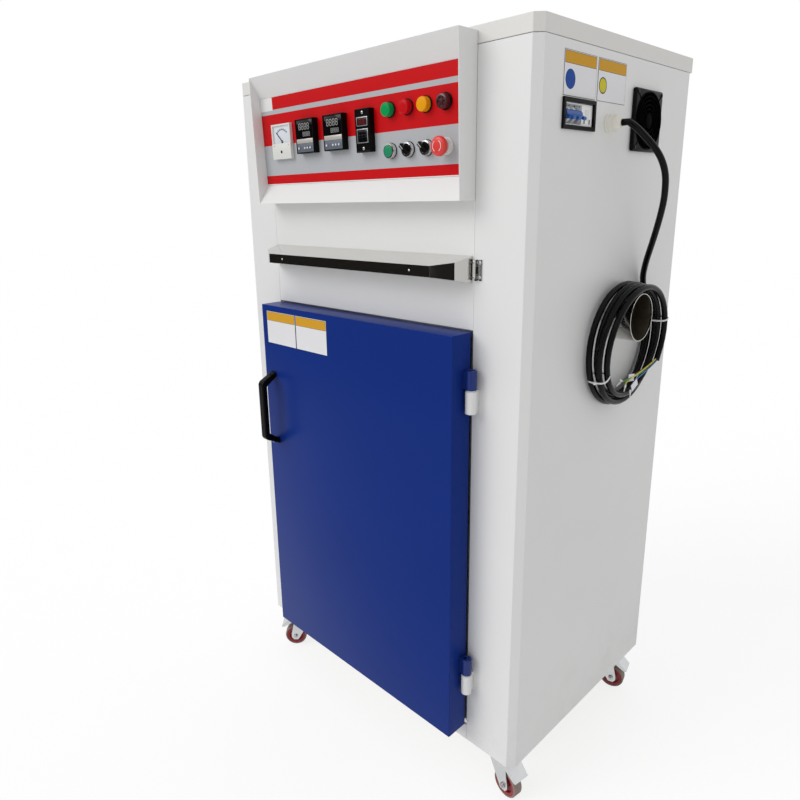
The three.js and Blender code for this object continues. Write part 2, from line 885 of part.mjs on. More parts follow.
function makeGasket() {
  const depths = [-doorSeat + fitGap, linerFront - fitGap];
  const around = (margin, ys) => block(
    [-openingHalf - margin, openingHalf + margin],
    ys,
    [openingBottom - margin, openingTop + margin],
  );
  const through = [depths[0] - cutOverrun, depths[1] + cutOverrun];
  return cut(around(gasketInset + gasketWidth, depths), around(gasketInset, through));
}

// The frame's half of a lift-off hinge: barrel, washer and pin, welded to the post by its block.
function makeFrameKnuckle(height) {
  const centre = [hingeX, -hingeStandOff];
  const top = height - hingeWasher / 2;
  const barrel = rod('xy', centre, knuckleRadius, [top - knuckleLength, top], plainSides);
  const washerHeights = [top - hingeWasher, top + hingeWasher];
  const washer = rod('xy', centre, knuckleRadius - hingeWasher, washerHeights, plainSides);
  const pinTop = top + doorKnuckleLength - hingeWasher * 2;
  const pin = rod('xy', centre, hingePinRadius, [top, pinTop], smallSides);
  const depths = [-hingeStandOff, -fitGap];
  const weld = block(span(hingeX, hingeBlockWidth / 2), depths, [top - knuckleLength, top]);
  return join(barrel, washer, pin, weld);
}

function makeDoorHandle() {
  const face = -doorStandOff - fitGap;
  const reach = -doorStandOff - handleReach;
  const foot = handleLength / 2;
  const centre = doorTop - handleDrop;
  const grip = gripLength / 2;
  const inner = reach + handleGrip;
  const outline = [
    [face, -foot],
    [reach + handleGrip / 3, -grip],
    [reach, -grip + handleGrip / 2],
    [reach, grip - handleGrip / 2],
    [reach + handleGrip / 3, grip],
    [face, foot],
    [face, foot - handleGrip],
    [inner, grip - handleGrip],
    [inner, -grip + handleGrip],
    [face, -foot + handleGrip],
  ].map(([y, z]) => [y, z + centre]);
  const left = -doorHalf + handleInset;
  return prism('yz', outline, [left, left + handleWidth]);
}

// Control box: two folded channels between cheeks, with the leaning label plate set in between
function makeControlBox() {
  const top = doorTop + boxTop;
  const bottom = doorTop + boxBottom;
  const side = postEdge;
  const upper = sheetOutline([
    [-fitGap, doorTop + plateTop],
    [-plateTopReach, doorTop + plateTop],
    [-boxTopReach, top],
    [-fitGap, top],
  ], -boxWall);
  const lower = sheetOutline([
    [-fitGap, bottom],
    [-boxBottomReach, bottom],
    [-plateBottomReach, doorTop + plateBottom],
    [-fitGap, doorTop + plateBottom],
  ], -boxWall);
  const cheek = [[-fitGap, top], [-boxTopReach, top], [-boxBottomReach, bottom], [-fitGap, bottom]];
  return join(
    prism('yz', upper, [-side, side]),
    prism('yz', lower, [-side, side]),
    prism('yz', cheek, [-side, -side + boxWall]),
    prism('yz', cheek, [side - boxWall, side]),
  );
}

const plateLean = Math.atan2(plateTopReach - plateBottomReach, plateTop - plateBottom);
const plateLength = Math.hypot(plateTop - plateBottom, plateTopReach - plateBottomReach);
const lampX = [0, 1, 2, 3].map((i) => firstLampX + i * buttonPitch);

// The label plate's own frame: x across, z up along the plate, its face at y = 0 looking along -y
function makeFascia() {
  const half = postEdge - boxWall - fitGap;
  const height = plateLength / 2 - fitGap;
  const through = [-cutOverrun, plateWall + cutOverrun];
  const holes = [
    rod('xz', [meterX, meterRise], meterNeckRadius + fitGap, through, plainSides),
    ...controllerX.map((x) => prism('xz', rectangle(
      span(x, controllerWidth - controllerNeckInset * 2 + fitGap * 2),
      span(controllerRise, controllerHeight - controllerNeckInset * 2 + fitGap * 2),
    ), through)),
    prism('xz', rectangle(
      span(timerX, timerWidth - controllerNeckInset * 2 + fitGap * 2),
      span(timerRise, timerHeight - controllerNeckInset * 6 + fitGap * 2),
    ), through),
    ...lampX.map((x) => rod('xz', [x, lampRise], lampNeckRadius + fitGap, through, plainSides)),
    rod('xz', [lampX[0], buttonRise], buttonRadius + fitGap, through, plainSides),
    rod('xz', [lampX[1], buttonRise], knobNeckRadius + fitGap, through, plainSides),
    rod('xz', [lampX[2], buttonRise], knobNeckRadius + fitGap, through, plainSides),
    rod('xz', [lampX[3], buttonRise], lampNeckRadius + fitGap, through, plainSides),
  ];
  return cut(block([-half, half], [0, plateWall], [-height, height]), ...holes);
}

// A panel instrument: a bezel on the plate, with a sunk window, and a neck through the hole
function makeInstrument(centre, size, proud, neckInsets) {
  const face = -fitGap - proud;
  const bezel = block(span(centre[0], size[0]), [face, -fitGap], span(centre[1], size[1]));
  const sunk = block(
    span(centre[0], size[0] - bezelLip * 2),
    [face - cutOverrun, face + bezelRecess],
    span(centre[1], size[1] - bezelLip * 2),
  );
  const neck = block(
    span(centre[0], size[0] - neckInsets[0] * 2),
    [-fitGap - bezelRecess, instrumentDepth],
    span(centre[1], size[1] - neckInsets[1] * 2),
  );
  return join(cut(bezel, sunk), neck);
}

function makeAmmeter() {
  const face = -fitGap - meterProud;
  const bezel = block(span(meterX, meterWidth), [face, -fitGap], span(meterRise, meterHeight));
  const dial = block(
    span(meterX, meterWidth - dialInset * 2),
    [face - cutOverrun, face + dialDepth],
    [meterRise - dialInset, meterRise + meterHeight / 2 - dialInset],
  );
  const neck = rod('xz', [meterX, meterRise], meterNeckRadius,
    [-fitGap - (meterProud - dialDepth) / 2, instrumentDepth / 2], plainSides);
  const pivot = rod('xz', [meterX, meterRise], needlePivotRadius,
    [face + dialDepth - fitGap - needleWidth, -fitGap], smallSides);
  return join(cut(bezel, dial), neck, pivot);
}

// The needle turns about a short hub at the foot of the dial. At rest it lies to the left.
function makeNeedle() {
  const floor = -fitGap - meterProud + dialDepth - fitGap;
  const depths = [floor - needleWidth, floor];
  const hub = rod('xz', [0, 0], needleHubRadius, depths, smallSides);
  const pointer = prism('xz', [
    [-needleWidth / 2, 0],
    [needleWidth / 2, 0],
    [needleWidth / 4, needleLength],
    [-needleWidth / 4, needleLength],
  ], depths);
  const bore = rod('xz', [0, 0], needlePivotRadius + fitGap,
    [depths[0] - cutOverrun, depths[1] + cutOverrun], smallSides);
  return cut(join(hub, pointer), bore);
}

function makeLamp(x, rise, bevel) {
  const profile = [
    [0, 0],
    [lampNeckRadius, 0],
    [lampNeckRadius, instrumentDepth / 2],
    [lampRadius, instrumentDepth / 2],
    [lampRadius, instrumentDepth / 2 + lampProud - bevel],
    [lampRadius - bevel, instrumentDepth / 2 + lampProud],
    [0, instrumentDepth / 2 + lampProud],
  ];
  return studOf(profile, x, rise, instrumentDepth / 2);
}

// A turned stud whose profile starts behind the plate and whose shoulder meets the plate's face.
function studOf(profile, x, rise, shoulder) {
  const points = profile.map(([radius, height]) => new THREE.Vector2(radius, height - shoulder + fitGap));
  const geometry = new THREE.LatheGeometry(points, plainSides, Math.PI / plainSides);
  geometry.rotateX(Math.PI);
  geometry.translate(x, 0, rise);
  return solidOf(geometry);
}

function makeStartButton(x) {
  const behind = buttonTravel + plateWall;
  const profile = [
    [0, 0],
    [buttonRadius, 0],
    [buttonRadius, behind + buttonProud - lampBevel / 3],
    [buttonRadius - lampBevel / 3, behind + buttonProud],
    [0, behind + buttonProud],
  ];
  return studOf(profile, x, buttonRise, behind);
}

function makeSelector(angle) {
  const behind = instrumentDepth / 2;
  const profile = [
    [0, 0],
    [knobNeckRadius, 0],
    [knobNeckRadius, behind],
    [knobRadius, behind],
    [knobRadius, behind + knobProud],
    [0, behind + knobProud],
  ];
  const knob = studOf(profile, 0, 0, behind);
  const top = -fitGap - knobProud;
  const grip = new THREE.BoxGeometry(knobGripWidth, knobGripHeight + knobProud / 2, knobRadius * 2);
  grip.translate(0, top - (knobGripHeight - knobProud / 2) / 2, 0);
  grip.rotateY(angle);
  return join(knob, solidOf(grip));
}

function makeStopBase(x) {
  const behind = instrumentDepth / 2;
  const profile = [
    [0, 0],
    [lampNeckRadius, 0],
    [lampNeckRadius, behind],
    [stopBaseRadius, behind],
    [stopBaseRadius, behind + stopBaseProud],
    [0, behind + stopBaseProud],
  ];
  const bore = rod('xz', [x, buttonRise], stopStemRadius + fitGap,
    [-stopBaseProud * 2, stopTravel + fitGap * 2], plainSides);
  return cut(studOf(profile, x, buttonRise, behind), bore);
}

function makeStopHead(x) {
  const stem = stopBaseProud + stopTravel + fitGap;
  const profile = [
    [0, 0],
    [stopStemRadius, 0],
    [stopStemRadius, stem],
    [stopHeadRadius - lampBevel, stem],
    [stopHeadRadius, stem + lampBevel],
    [stopHeadRadius, stem + stopHeadHeight - lampBevel * 2],
    [stopHeadRadius - lampBevel * 2, stem + stopHeadHeight],
    [0, stem + stopHeadHeight],
  ];
  return studOf(profile, x, buttonRise, 0);
}

// Polished rail: a shallow folded hood with hipped ends, hung on a butt hinge at its right end
function makeRail() {
  const hood = (inset) => {
    const half = railHalfLength - inset;
    const face = railFaceHalf - inset;
    const reach = -railReach + inset;
    const middle = (half + face) / 2 + (half - face) * railCornerShare;
    const plan = [
      [-half, inset],
      [-half, -railPinReach],
      [-middle, reach * railCornerDepthShare],
      [-face, reach],
      [face, reach],
      [middle, reach * railCornerDepthShare],
      [half, -railPinReach],
      [half, inset],
    ];
    const profile = [
      [inset, doorTop + railBottom + inset],
      [reach, doorTop + railFaceBottom + inset],
      [reach, doorTop + railFaceTop - inset],
      [inset, doorTop + railTop - inset],
    ];
    const heights = [doorTop + railBottom - cutOverrun, doorTop + railTop + cutOverrun];
    return prism('xy', plan, heights).intersect(prism('yz', profile, [-half, half]));
  };
  const behind = block(
    [-cabinetWidth / 2, cabinetWidth / 2],
    [-fitGap, railWall * 2],
    [doorTop + railBottom - cutOverrun, doorTop + railTop + cutOverrun],
  );
  const leafCentre = doorTop + (railBottom + railTop) / 2;
  const leaf = block(
    [railHalfLength - railWall, railPinX],
    [-fitGap * 2 - railLeafWall, -fitGap * 2],
    span(leafCentre, railLeafHeight),
  );
  const barrel = rod('xy', [railPinX, -railPinReach], railPinRadius,
    span(leafCentre, railLeafHeight / 3), smallSides);
  const bore = rod('xy', [railPinX, -railPinReach], railPinRadius / 2 + fitGap,
    span(leafCentre, railLeafHeight), smallSides);
  const relief = [-1, 1].map((sign) => rod('xy', [railPinX, -railPinReach], railPinRadius + fitGap * 2,
    span(leafCentre + sign * (railLeafHeight / 3 + fitGap), railLeafHeight / 3 + fitGap), smallSides));
  const shell = cut(hood(0), hood(railWall), behind);
  return cut(join(shell, cut(leaf, ...relief), barrel), bore);
}

const railCornerShare = 0.3;
const railCornerDepthShare = 0.62;

function makeRailHinge() {
  const centre = doorTop + (railBottom + railTop) / 2;
  const leaf = block(
    [railPinX, railPinX + railLeafWidth],
    [-fitGap - railLeafWall, -fitGap],
    span(centre, railLeafHeight),
  );
  const barrels = [-1, 1].map((sign) => rod('xy', [railPinX, -railPinReach], railPinRadius,
    span(centre + sign * (railLeafHeight / 3 + fitGap), railLeafHeight / 3 - fitGap), smallSides));
  const relief = rod('xy', [railPinX, -railPinReach], railPinRadius + fitGap * 2,
    span(centre, railLeafHeight / 3 + fitGap * 2), smallSides);
  const pinHeights = span(centre, railLeafHeight);
  const pin = rod('xy', [railPinX, -railPinReach], railPinRadius / 2, pinHeights, smallSides);
  return join(cut(leaf, relief), ...barrels, pin);
}

function makeExhaustPipe() {
  const places = [linerHalf - pipeInset, halfWidth + pipeReach];
  return cut(
    rod('yz', [pipeDepth, pipeZ], pipeRadius, places, fineSides),
    rod('yz', [pipeDepth, pipeZ], pipeRadius - pipeWall,
      [places[0] - cutOverrun, places[1] + cutOverrun], fineSides),
  );
}

// Breaker: its window frame outside the panel, its body behind, and three toggles on one bar
const leverX = halfWidth - leverRadius / 2;
const leverFront = breakerFront + breakerFrame + fitGap + leverWall;

function makeBreakerWindow() {
  const ys = [breakerFront, breakerFront + breakerWidth];
  const zs = [doorTop + breakerBottom, doorTop + breakerBottom + breakerHeight];
  const inner = breakerFrame + fitGap;
  return cut(
    block([halfWidth + fitGap, halfWidth + breakerProud], ys, zs),
    block(
      [halfWidth - cutOverrun, halfWidth + breakerProud + cutOverrun],
      [ys[0] + inner, ys[1] - inner],
      [zs[0] + inner, zs[1] - inner],
    ),
  );
}

function makeBreakerBody() {
  const inset = breakerFrame + fitGap * 2;
  const ys = [breakerFront + inset, breakerFront + breakerWidth - inset];
  const height = breakerHeight - inset * 2;
  const body = block([halfWidth - breakerBodyDepth, halfWidth + fitGap], ys, span(breakerZ, height));
  const slot = block(
    [leverX - leverRadius - leverWall, halfWidth + cutOverrun],
    [leverFront - fitGap * 2, leverFront + breakerPitch * breakerPoles + fitGap * 2],
    span(breakerZ, height - leverWall),
  );
  const axle = rod('xz', [leverX, breakerZ], leverAxleRadius, ys, smallSides);
  return join(cut(body, slot), axle);
}

function makeBreakerLever() {
  const ys = [leverFront, leverFront + breakerPitch * breakerPoles];
  const heights = [-leverWall / 2, leverWall / 2];
  const barrel = rod('xz', [0, 0], leverRadius, ys, plainSides);
  const toggles = [];
  for (let i = 0; i < breakerPoles; i += 1) {
    const y = ys[0] + breakerPitch * (i + 0.5);
    toggles.push(prism('xz', rectangle([0, leverReach], heights), span(y, breakerPitch / 2)));
  }
  const bar = prism('xz', rectangle([0, leverReach - leverBar], heights), ys);
  const through = [ys[0] - cutOverrun, ys[1] + cutOverrun];
  const bore = rod('xz', [0, 0], leverAxleRadius + fitGap, through, smallSides);
  return cut(join(barrel, bar, ...toggles), bore);
}

// Cooling fan: a square housing with ring guard outside the panel, and a rotor on its spindle
function makeFanHousing() {
  const outside = [halfWidth + fitGap, halfWidth + fanProud];
  const inside = halfWidth - panelWall - fanDepth;
  const flange = block(outside, span(fanCentre[0], fanSize), span(fanCentre[1], fanSize));
  const tube = rod('yz', fanCentre, fanBore + fanWall, [inside, halfWidth + fanProud / 2], plainSides);
  const boreReach = [inside + fanWall, halfWidth + fanProud + cutOverrun];
  const bore = rod('yz', fanCentre, fanBore, boreReach, plainSides);
  const backReach = [inside - cutOverrun, inside + fanWall * 2];
  const backHole = rod('yz', fanCentre, fanBore - fanWall * 2, backReach, plainSides);
  const guard = [halfWidth + fanProud - fanWall, halfWidth + fanProud];
  const guardCut = [guard[0] - cutOverrun, guard[1] + cutOverrun];
  const rings = [];
  for (let i = 0; i < fanRings; i += 1) {
    const radius = fanHub + fanRingWidth + ((fanBore - fanHub - fanRingWidth) * (i + 0.5)) / fanRings;
    rings.push(cut(
      rod('yz', fanCentre, radius + fanRingWidth / 2, guard, plainSides),
      rod('yz', fanCentre, radius - fanRingWidth / 2, guardCut, plainSides),
    ));
  }
  const boss = rod('yz', fanCentre, fanHub, guard, plainSides);
  const reach = fanBore + fanWall / 2;
  const spokes = [
    block(guard, span(fanCentre[0], reach * 2), span(fanCentre[1], fanRingWidth)),
    block(guard, span(fanCentre[0], fanRingWidth), span(fanCentre[1], reach * 2)),
  ];
  const backSpokes = [
    block([inside, inside + fanWall], span(fanCentre[0], reach * 2), span(fanCentre[1], fanRingWidth * 2)),
    block([inside, inside + fanWall], span(fanCentre[0], fanRingWidth * 2), span(fanCentre[1], reach * 2)),
  ];
  const spindle = rod('yz', fanCentre, fanSpindle, [inside, halfWidth - fanWall * 2], smallSides);
  return join(cut(join(flange, tube), bore, backHole), ...rings, boss, ...spokes, ...backSpokes, spindle);
}

function makeFanRotor() {
  const inside = halfWidth - panelWall - fanDepth + fanWall + fitGap;
  const places = [inside, halfWidth - fanWall * 2 - fitGap];
  const hub = rod('yz', fanCentre, fanHub, places, plainSides);
  const blades = [];
  for (let i = 0; i < fanBlades; i += 1) {
    const length = fanBore - fitGap * 6 - fanHub + fanBladeWall * 2;
    const blade = new THREE.BoxGeometry(fanBladeWidth, length, fanBladeWall);
    blade.rotateY((fanBladePitch * Math.PI) / 180);
    blade.translate(0, fanHub - fanBladeWall * 2 + length / 2, 0);
    blade.rotateX((i / fanBlades) * Math.PI * 2);
    blade.translate((places[0] + places[1]) / 2, fanCentre[0], fanCentre[1]);
    blades.push(solidOf(blade));
  }
  const bore = rod('yz', fanCentre, fanSpindle + fitGap,
    [places[0] - cutOverrun, places[1] + cutOverrun], smallSides);
  const sweepRoom = rod('yz', fanCentre, fanBore - fitGap * 3, places, fineSides);
  return cut(join(hub, ...blades).intersect(sweepRoom), bore);
}

// Cable gland: six-sided nut, dome, threaded stem through the panel and lock nut behind
const glandZ = doorTop + glandHeight;
const cordRadius = cordDiameter / 2;

function makeGland() {
  const centre = [glandDepth, glandZ];
  const nut = prism('yz', hexagon(centre, glandNut), [halfWidth + fitGap, halfWidth + glandNutLength]);
  const profile = [
    [0, 0],
    [glandNut - glandDome / 5, 0],
    [glandNut - glandDome / 5, (glandLength - glandNutLength) / 2],
    [glandDome, glandLength - glandNutLength],
    [0, glandLength - glandNutLength],
  ];
  const dome = turned(profile, 'x', [halfWidth + glandNutLength, glandDepth, glandZ], plainSides);
  const inner = halfWidth - panelWall - fitGap;
  const back = inner - glandLockLength;
  const stem = rod('yz', centre, glandStem, [back, halfWidth + glandNutLength], plainSides);
  const lock = prism('yz', hexagon(centre, glandLockNut), [back, inner]);
  return join(nut, dome, stem, lock);
}

function hexagon(centre, radius) {
  const points = [];
  for (let i = 0; i < 6; i += 1) {
    const angle = (i / 6) * Math.PI * 2;
    points.push([centre[0] + radius * Math.cos(angle), centre[1] + radius * Math.sin(angle)]);
  }
  return points;
}

// The coil hangs on the pipe. Its turns lie side by side on top of the pipe and gather in two
// layers below it, alternately outside and inside, each turn further from the wall.
const coilFirstX = halfWidth + fitGap + cordRadius;
const coilLift = Math.sqrt(
  (coilRadiusAt(coilTurns) - pipeRadius - cordRadius - coilPipeGap) ** 2 - (coilDepth - pipeDepth) ** 2,
);
const coilZ = pipeZ - coilLift;

function coilRadiusAt(turn) {
  return coilFirstRadius + ((coilLastRadius - coilFirstRadius) * turn) / coilTurns;
}

function coilPoint(turn) {
  const angle = (coilStartAngle * Math.PI) / 180 - turn * Math.PI * 2;
  const below = (1 - Math.sin(angle)) / 2;
  const firstTop = (coilStartAngle + 270) / 360;
  const layer = Math.ceil(turn - firstTop) % 2 === 0 ? 1 : -1;
  const radius = coilRadiusAt(turn) + layer * coilLayer * below ** coilLayerShare;
  const pitch = coilTopPitch + (coilBottomPitch - coilTopPitch) * below;
  return new THREE.Vector3(
    coilFirstX + pitch * turn,
    coilDepth + radius * Math.cos(angle),
    coilZ + radius * Math.sin(angle),
  );
}

function makeCoilPoints() {
  const count = Math.round(coilTurns * coilStepsPerTurn);
  const points = [];
  for (let i = 0; i <= count; i += 1) {
    points.push(coilPoint((i / count) * coilTurns));
  }
  const start = points[0].clone().sub(points[1]).normalize();
  const end = points[count].clone().sub(points[count - 1]).normalize();
  points.unshift(points[0].clone().addScaledVector(start, cordDiameter));
  points.push(points[points.length - 1].clone().addScaledVector(end, cordDiameter));
  return points;
}

// The least gap between parts of the coil that are more than half a turn apart
function leastCoilGap() {
  const fine = 240;
  const places = [];
  for (let i = 0; i <= coilTurns * fine; i += 1) {
    places.push(coilPoint(i / fine));
  }
  let least = Infinity;
  for (let i = 0; i < places.length; i += 1) {
    for (let j = i + fine / 2; j < places.length; j += 1) {
      least = Math.min(least, places[i].distanceTo(places[j]));
    }
  }
  return least - cordDiameter;
}

function pathLength(points) {
  return points.slice(1).reduce((sum, point, i) => sum + point.distanceTo(points[i]), 0);
}

// The free run of the cord from the gland to the coil, as it is seen to lie: x, y and height
// above the door's top edge
const cordRoute = [
  [504, 252, 377],
  [516, 267, 360],
  [526, 281, 344],
  [533, 295, 327],
  [537, 308, 308],
  [538, 318, 288],
  [536, 326, 267],
  [532, 334, 244],
  [525, 343, 221],
  [516, 353, 196],
  [506, 364, 172],
  [495, 376, 148],
  [483, 390, 124],
  [472, 405, 101],
  [463.5, 420, 77],
];

const coilPoints = makeCoilPoints();

function makeCordRun() {
  const end = coilPoints[0];
  const back = coilPoints[0].clone().sub(coilPoints[1]).normalize();
  const start = new THREE.Vector3(halfWidth + glandLength + fitGap, glandDepth, glandZ);
  const curve = new THREE.CatmullRomCurve3([
    start.clone().addScaledVector(axisVector(0), cordDiameter),
    ...cordRoute.map(([x, y, rise]) => new THREE.Vector3(x, y, doorTop + rise)),
    end.clone().addScaledVector(back, cordDiameter + fitGap),
  ], false, 'centripetal');
  return [start, ...curve.getSpacedPoints(runSteps), end.clone().addScaledVector(back, fitGap)];
}

// Casters: each place has its pivot and the heading in degrees of the way its wheel trails
const casterSide = halfWidth - casterInset;
const casterPlaces = [
  { name: 'front_right', x: casterSide, y: frontCasterInset, heading: -8 },
  { name: 'front_left', x: -casterSide, y: frontCasterInset, heading: 225 },
  { name: 'rear_right', x: casterSide, y: cabinetDepth - rearCasterInset, heading: 14 },
  { name: 'rear_left', x: -casterSide, y: cabinetDepth - rearCasterInset, heading: 245 },
];

// Inside a caster's group the pivot stands at x = y = 0 and the wheel trails along +x.
const forkTop = casterHeight - casterPlateWall - fitGap;
const forkInner = wheelWidth / 2 + forkGap;
const forkOuter = forkInner + forkWall;
const pedalPinZ = casterHeight - pedalPinDrop;
// The wheel's facets stand with one flat on the floor.
const wheelZ = wheelRadius * Math.cos(Math.PI / plainSides);

function makeFork() {
  const head = rod('xy', [0, 0], forkHeadRadius, [forkTop - forkHeadHeight, forkTop], plainSides);
  const crownTop = forkTop - forkHeadHeight / 2;
  const crownBottom = crownTop - forkHeadHeight;
  const legOutline = [
    [-forkHeadRadius, crownTop],
    [-forkHeadRadius, crownTop - forkCrownDrop],
    [casterTrail - forkFoot, wheelZ - forkFoot / 3],
    [casterTrail - forkFoot / 2, wheelZ - forkFoot],
    [casterTrail + forkFoot / 2, wheelZ - forkFoot],
    [casterTrail + forkFoot, wheelZ - forkFoot / 3],
    [casterTrail + forkFoot, wheelZ + forkFoot / 2],
    [forkHeadRadius, crownTop - forkCrownDrop],
    [forkHeadRadius, crownTop],
  ];
  const legs = [-1, 1].map((sign) => (
    prism('xz', legOutline, [sign * forkInner, sign * forkOuter])
  ));
  const crown = block([-forkHeadRadius, forkHeadRadius], [-forkOuter, forkOuter], [crownBottom, crownTop]);
  const axle = rod('xz', [casterTrail, wheelZ], axleRadius, [-forkOuter, forkOuter], smallSides);
  const pins = [-1, 1].map((sign) => rod('xz', [pedalPinForward, pedalPinZ], pedalPinRadius,
    [sign * forkInner, sign * (forkOuter + pedalEarGap + pedalWall)], smallSides));
  const boreHeights = [forkTop - kingPinLength, forkTop + cutOverrun];
  const bore = rod('xy', [0, 0], kingPinRadius + fitGap, boreHeights, smallSides);
  return cut(join(head, crown, ...legs, axle, ...pins), bore);
}

function makeWheel() {
  const half = wheelWidth / 2;
  const bore = axleRadius + fitGap;
  const core = wheelRadius - treadDepth;
  const profile = [
    [bore, -half + wheelDish],
    [core, -half + wheelDish],
    [core, -half],
    [wheelRadius, -half],
    [wheelRadius, half],
    [core, half],
    [core, half - wheelDish],
    [bore, half - wheelDish],
    [bore, -half + wheelDish],
  ];
  return turned(profile, 'y', [casterTrail, 0, wheelZ], plainSides);
}

function makePedal() {
  const outer = forkOuter + pedalEarGap + pedalWall;
  const heel = [forkHeadRadius + pedalHeelGap, pedalHeelHeight];
  const tip = [pedalTipReach, pedalTipHeight];
  const plate = sheetOutline([heel, tip], pedalWall);
  const edge = pedalPinRadius + pedalWall;
  const ear = [
    heel,
    [pedalPinForward - edge, pedalPinZ + edge],
    [pedalPinForward - edge, pedalPinZ - edge],
    [pedalPinForward + edge, pedalPinZ - edge],
    [pedalTipReach - edge, pedalTipHeight],
    tip,
  ];
  const hole = rod('xz', [pedalPinForward, pedalPinZ], pedalPinRadius + fitGap,
    [-outer - cutOverrun, outer + cutOverrun], smallSides);
  const ears = [-1, 1].map((sign) => (
    prism('xz', ear, [sign * (outer - pedalWall), sign * outer])
  ));
  return cut(join(prism('xz', plate, [-outer, outer]), ...ears), hole);
}

// Assembly
addMesh(group, 'base_frame', makeBaseFrame(), 'whitePaint');
addMesh(group, 'left_side_panel', makeSidePanel(-1), 'whitePaint');
addMesh(group, 'right_side_panel', makeSidePanel(1), 'whitePaint');
addMesh(group, 'rear_panel', makeRearPanel(), 'whitePaint');
addMesh(group, 'top_cap', makeTopCap(), 'whitePaint');
addMesh(group, 'upper_front_panel', makeUpperFrontPanel(), 'whitePaint');
addMesh(group, 'inner_liner', makeLiner(), 'stainless');
addMesh(group, 'insulation', makeInsulation(), 'wool');
addMesh(group, 'door_gasket', makeGasket(), 'silicone');
for (let i = 0; i < trayCount; i += 1) {
  addMesh(group, `shelf_tray_${i + 1}`, makeTray(i), 'stainless');
}
addMesh(group, 'air_baffle', makeAirBaffle(), 'stainless');
addMesh(group, 'blower_wheel', makeBlowerWheel(), 'galvanised');
addMesh(group, 'blower_motor', makeBlowerMotor(), 'motorGrey');
addMesh(group, 'heater_element', makeHeater(), 'darkSteel');

addMesh(group, 'door_shell', makeDoorShell(), 'bluePaint');
addMesh(group, 'door_inner_panel', makeDoorInnerPanel(), 'stainless');
addMesh(group, 'door_handle', makeDoorHandle(), 'blackPlastic');
addMesh(group, 'frame_knuckle_upper', makeFrameKnuckle(upperHingeHeight), 'whitePaint');
addMesh(group, 'frame_knuckle_lower', makeFrameKnuckle(lowerHingeHeight), 'whitePaint');

addMesh(group, 'control_box', makeControlBox(), 'whitePaint');
const plate = new THREE.Group();
plate.position.set(
  0,
  -(plateTopReach + plateBottomReach) / 2,
  doorTop + (plateTop + plateBottom) / 2,
);
plate.rotation.x = plateLean;
group.add(plate);
addMesh(plate, 'control_fascia', makeFascia(), 'labelRed');
addMesh(plate, 'ammeter', makeAmmeter(), 'whitePlastic');
const needle = addMesh(plate, 'ammeter_needle', makeNeedle(), 'blackPlastic');
needle.position.set(meterX, 0, meterRise);
needle.rotation.y = -Math.PI / 4;
const controllerSize = [controllerWidth, controllerHeight];
const controllerNeck = [controllerNeckInset, controllerNeckInset];
['temperature_controller', 'limit_controller'].forEach((name, i) => {
  const centre = [controllerX[i], controllerRise];
  const body = makeInstrument(centre, controllerSize, controllerProud, controllerNeck);
  addMesh(plate, name, body, 'blackPlastic');
});
const timerNeck = [controllerNeckInset, controllerNeckInset * 3];
addMesh(plate, 'cycle_timer',
  makeInstrument([timerX, timerRise], [timerWidth, timerHeight], timerProud, timerNeck), 'blackPlastic');
addMesh(plate, 'pilot_lamp_green', makeLamp(lampX[0], lampRise, lampBevel), 'lampGreen');
addMesh(plate, 'pilot_lamp_red', makeLamp(lampX[1], lampRise, lampBevel), 'lampRed');
addMesh(plate, 'pilot_lamp_yellow', makeLamp(lampX[2], lampRise, lampBevel), 'lampYellow');
addMesh(plate, 'alarm_buzzer', makeLamp(lampX[3], lampRise, lampBevel * 2), 'buzzerRed');
addMesh(plate, 'start_button', makeStartButton(lampX[0]), 'buttonGreen');
['selector_knob_left', 'selector_knob_right'].forEach((name, i) => {
  const knob = addMesh(plate, name, makeSelector((-knobLean * Math.PI) / 180), 'blackPlastic');
  knob.position.set(lampX[i + 1], 0, buttonRise);
});
addMesh(plate, 'estop_base', makeStopBase(lampX[3]), 'galvanised');
addMesh(plate, 'estop_head', makeStopHead(lampX[3]), 'stopRed');

addMesh(group, 'push_rail', makeRail(), 'mirrorSteel');
addMesh(group, 'rail_hinge', makeRailHinge(), 'stainless');
addMesh(group, 'exhaust_pipe', makeExhaustPipe(), 'stainless');
addMesh(group, 'breaker_window', makeBreakerWindow(), 'blackPlastic');
addMesh(group, 'breaker_body', makeBreakerBody(), 'whitePlastic');
const lever = addMesh(group, 'breaker_lever', makeBreakerLever(), 'toggleBlue');
lever.position.set(leverX, 0, breakerZ);
lever.rotation.y = (leverRest * Math.PI) / 180;
addMesh(group, 'fan_housing', makeFanHousing(), 'blackPlastic');
addMesh(group, 'fan_rotor', makeFanRotor(), 'blackPlastic');
addMesh(group, 'cable_gland', makeGland(), 'nylon');
const runPoints = makeCordRun();
addMesh(group, 'cord_run', sweep(runPoints, cordRadius, cordSides), 'cordRubber');
addMesh(group, 'cord_coil', sweep(coilPoints, cordRadius, coilSides), 'cordRubber');
console.log(`least gap in the coil ${leastCoilGap().toFixed(2)} mm`);
console.log(`cord length ${((pathLength(runPoints) + pathLength(coilPoints)) / 1000).toFixed(2)} m`);

for (const { name, x, y, heading } of casterPlaces) {
  const caster = new THREE.Group();
  caster.position.set(x, y, 0);
  caster.rotation.z = (heading * Math.PI) / 180;
  addMesh(caster, `caster_fork_${name}`, makeFork(), 'zinc');
  addMesh(caster, `caster_wheel_${name}`, makeWheel(), 'wheelRed');
  addMesh(caster, `brake_pedal_${name}`, makePedal(), 'zinc');
  group.add(caster);
}

export default group;
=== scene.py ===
import json
import logging
import math
from dataclasses import dataclass, field
from enum import Enum
from typing import Callable, Optional, Sequence

import bpy
from mathutils import Matrix, Vector


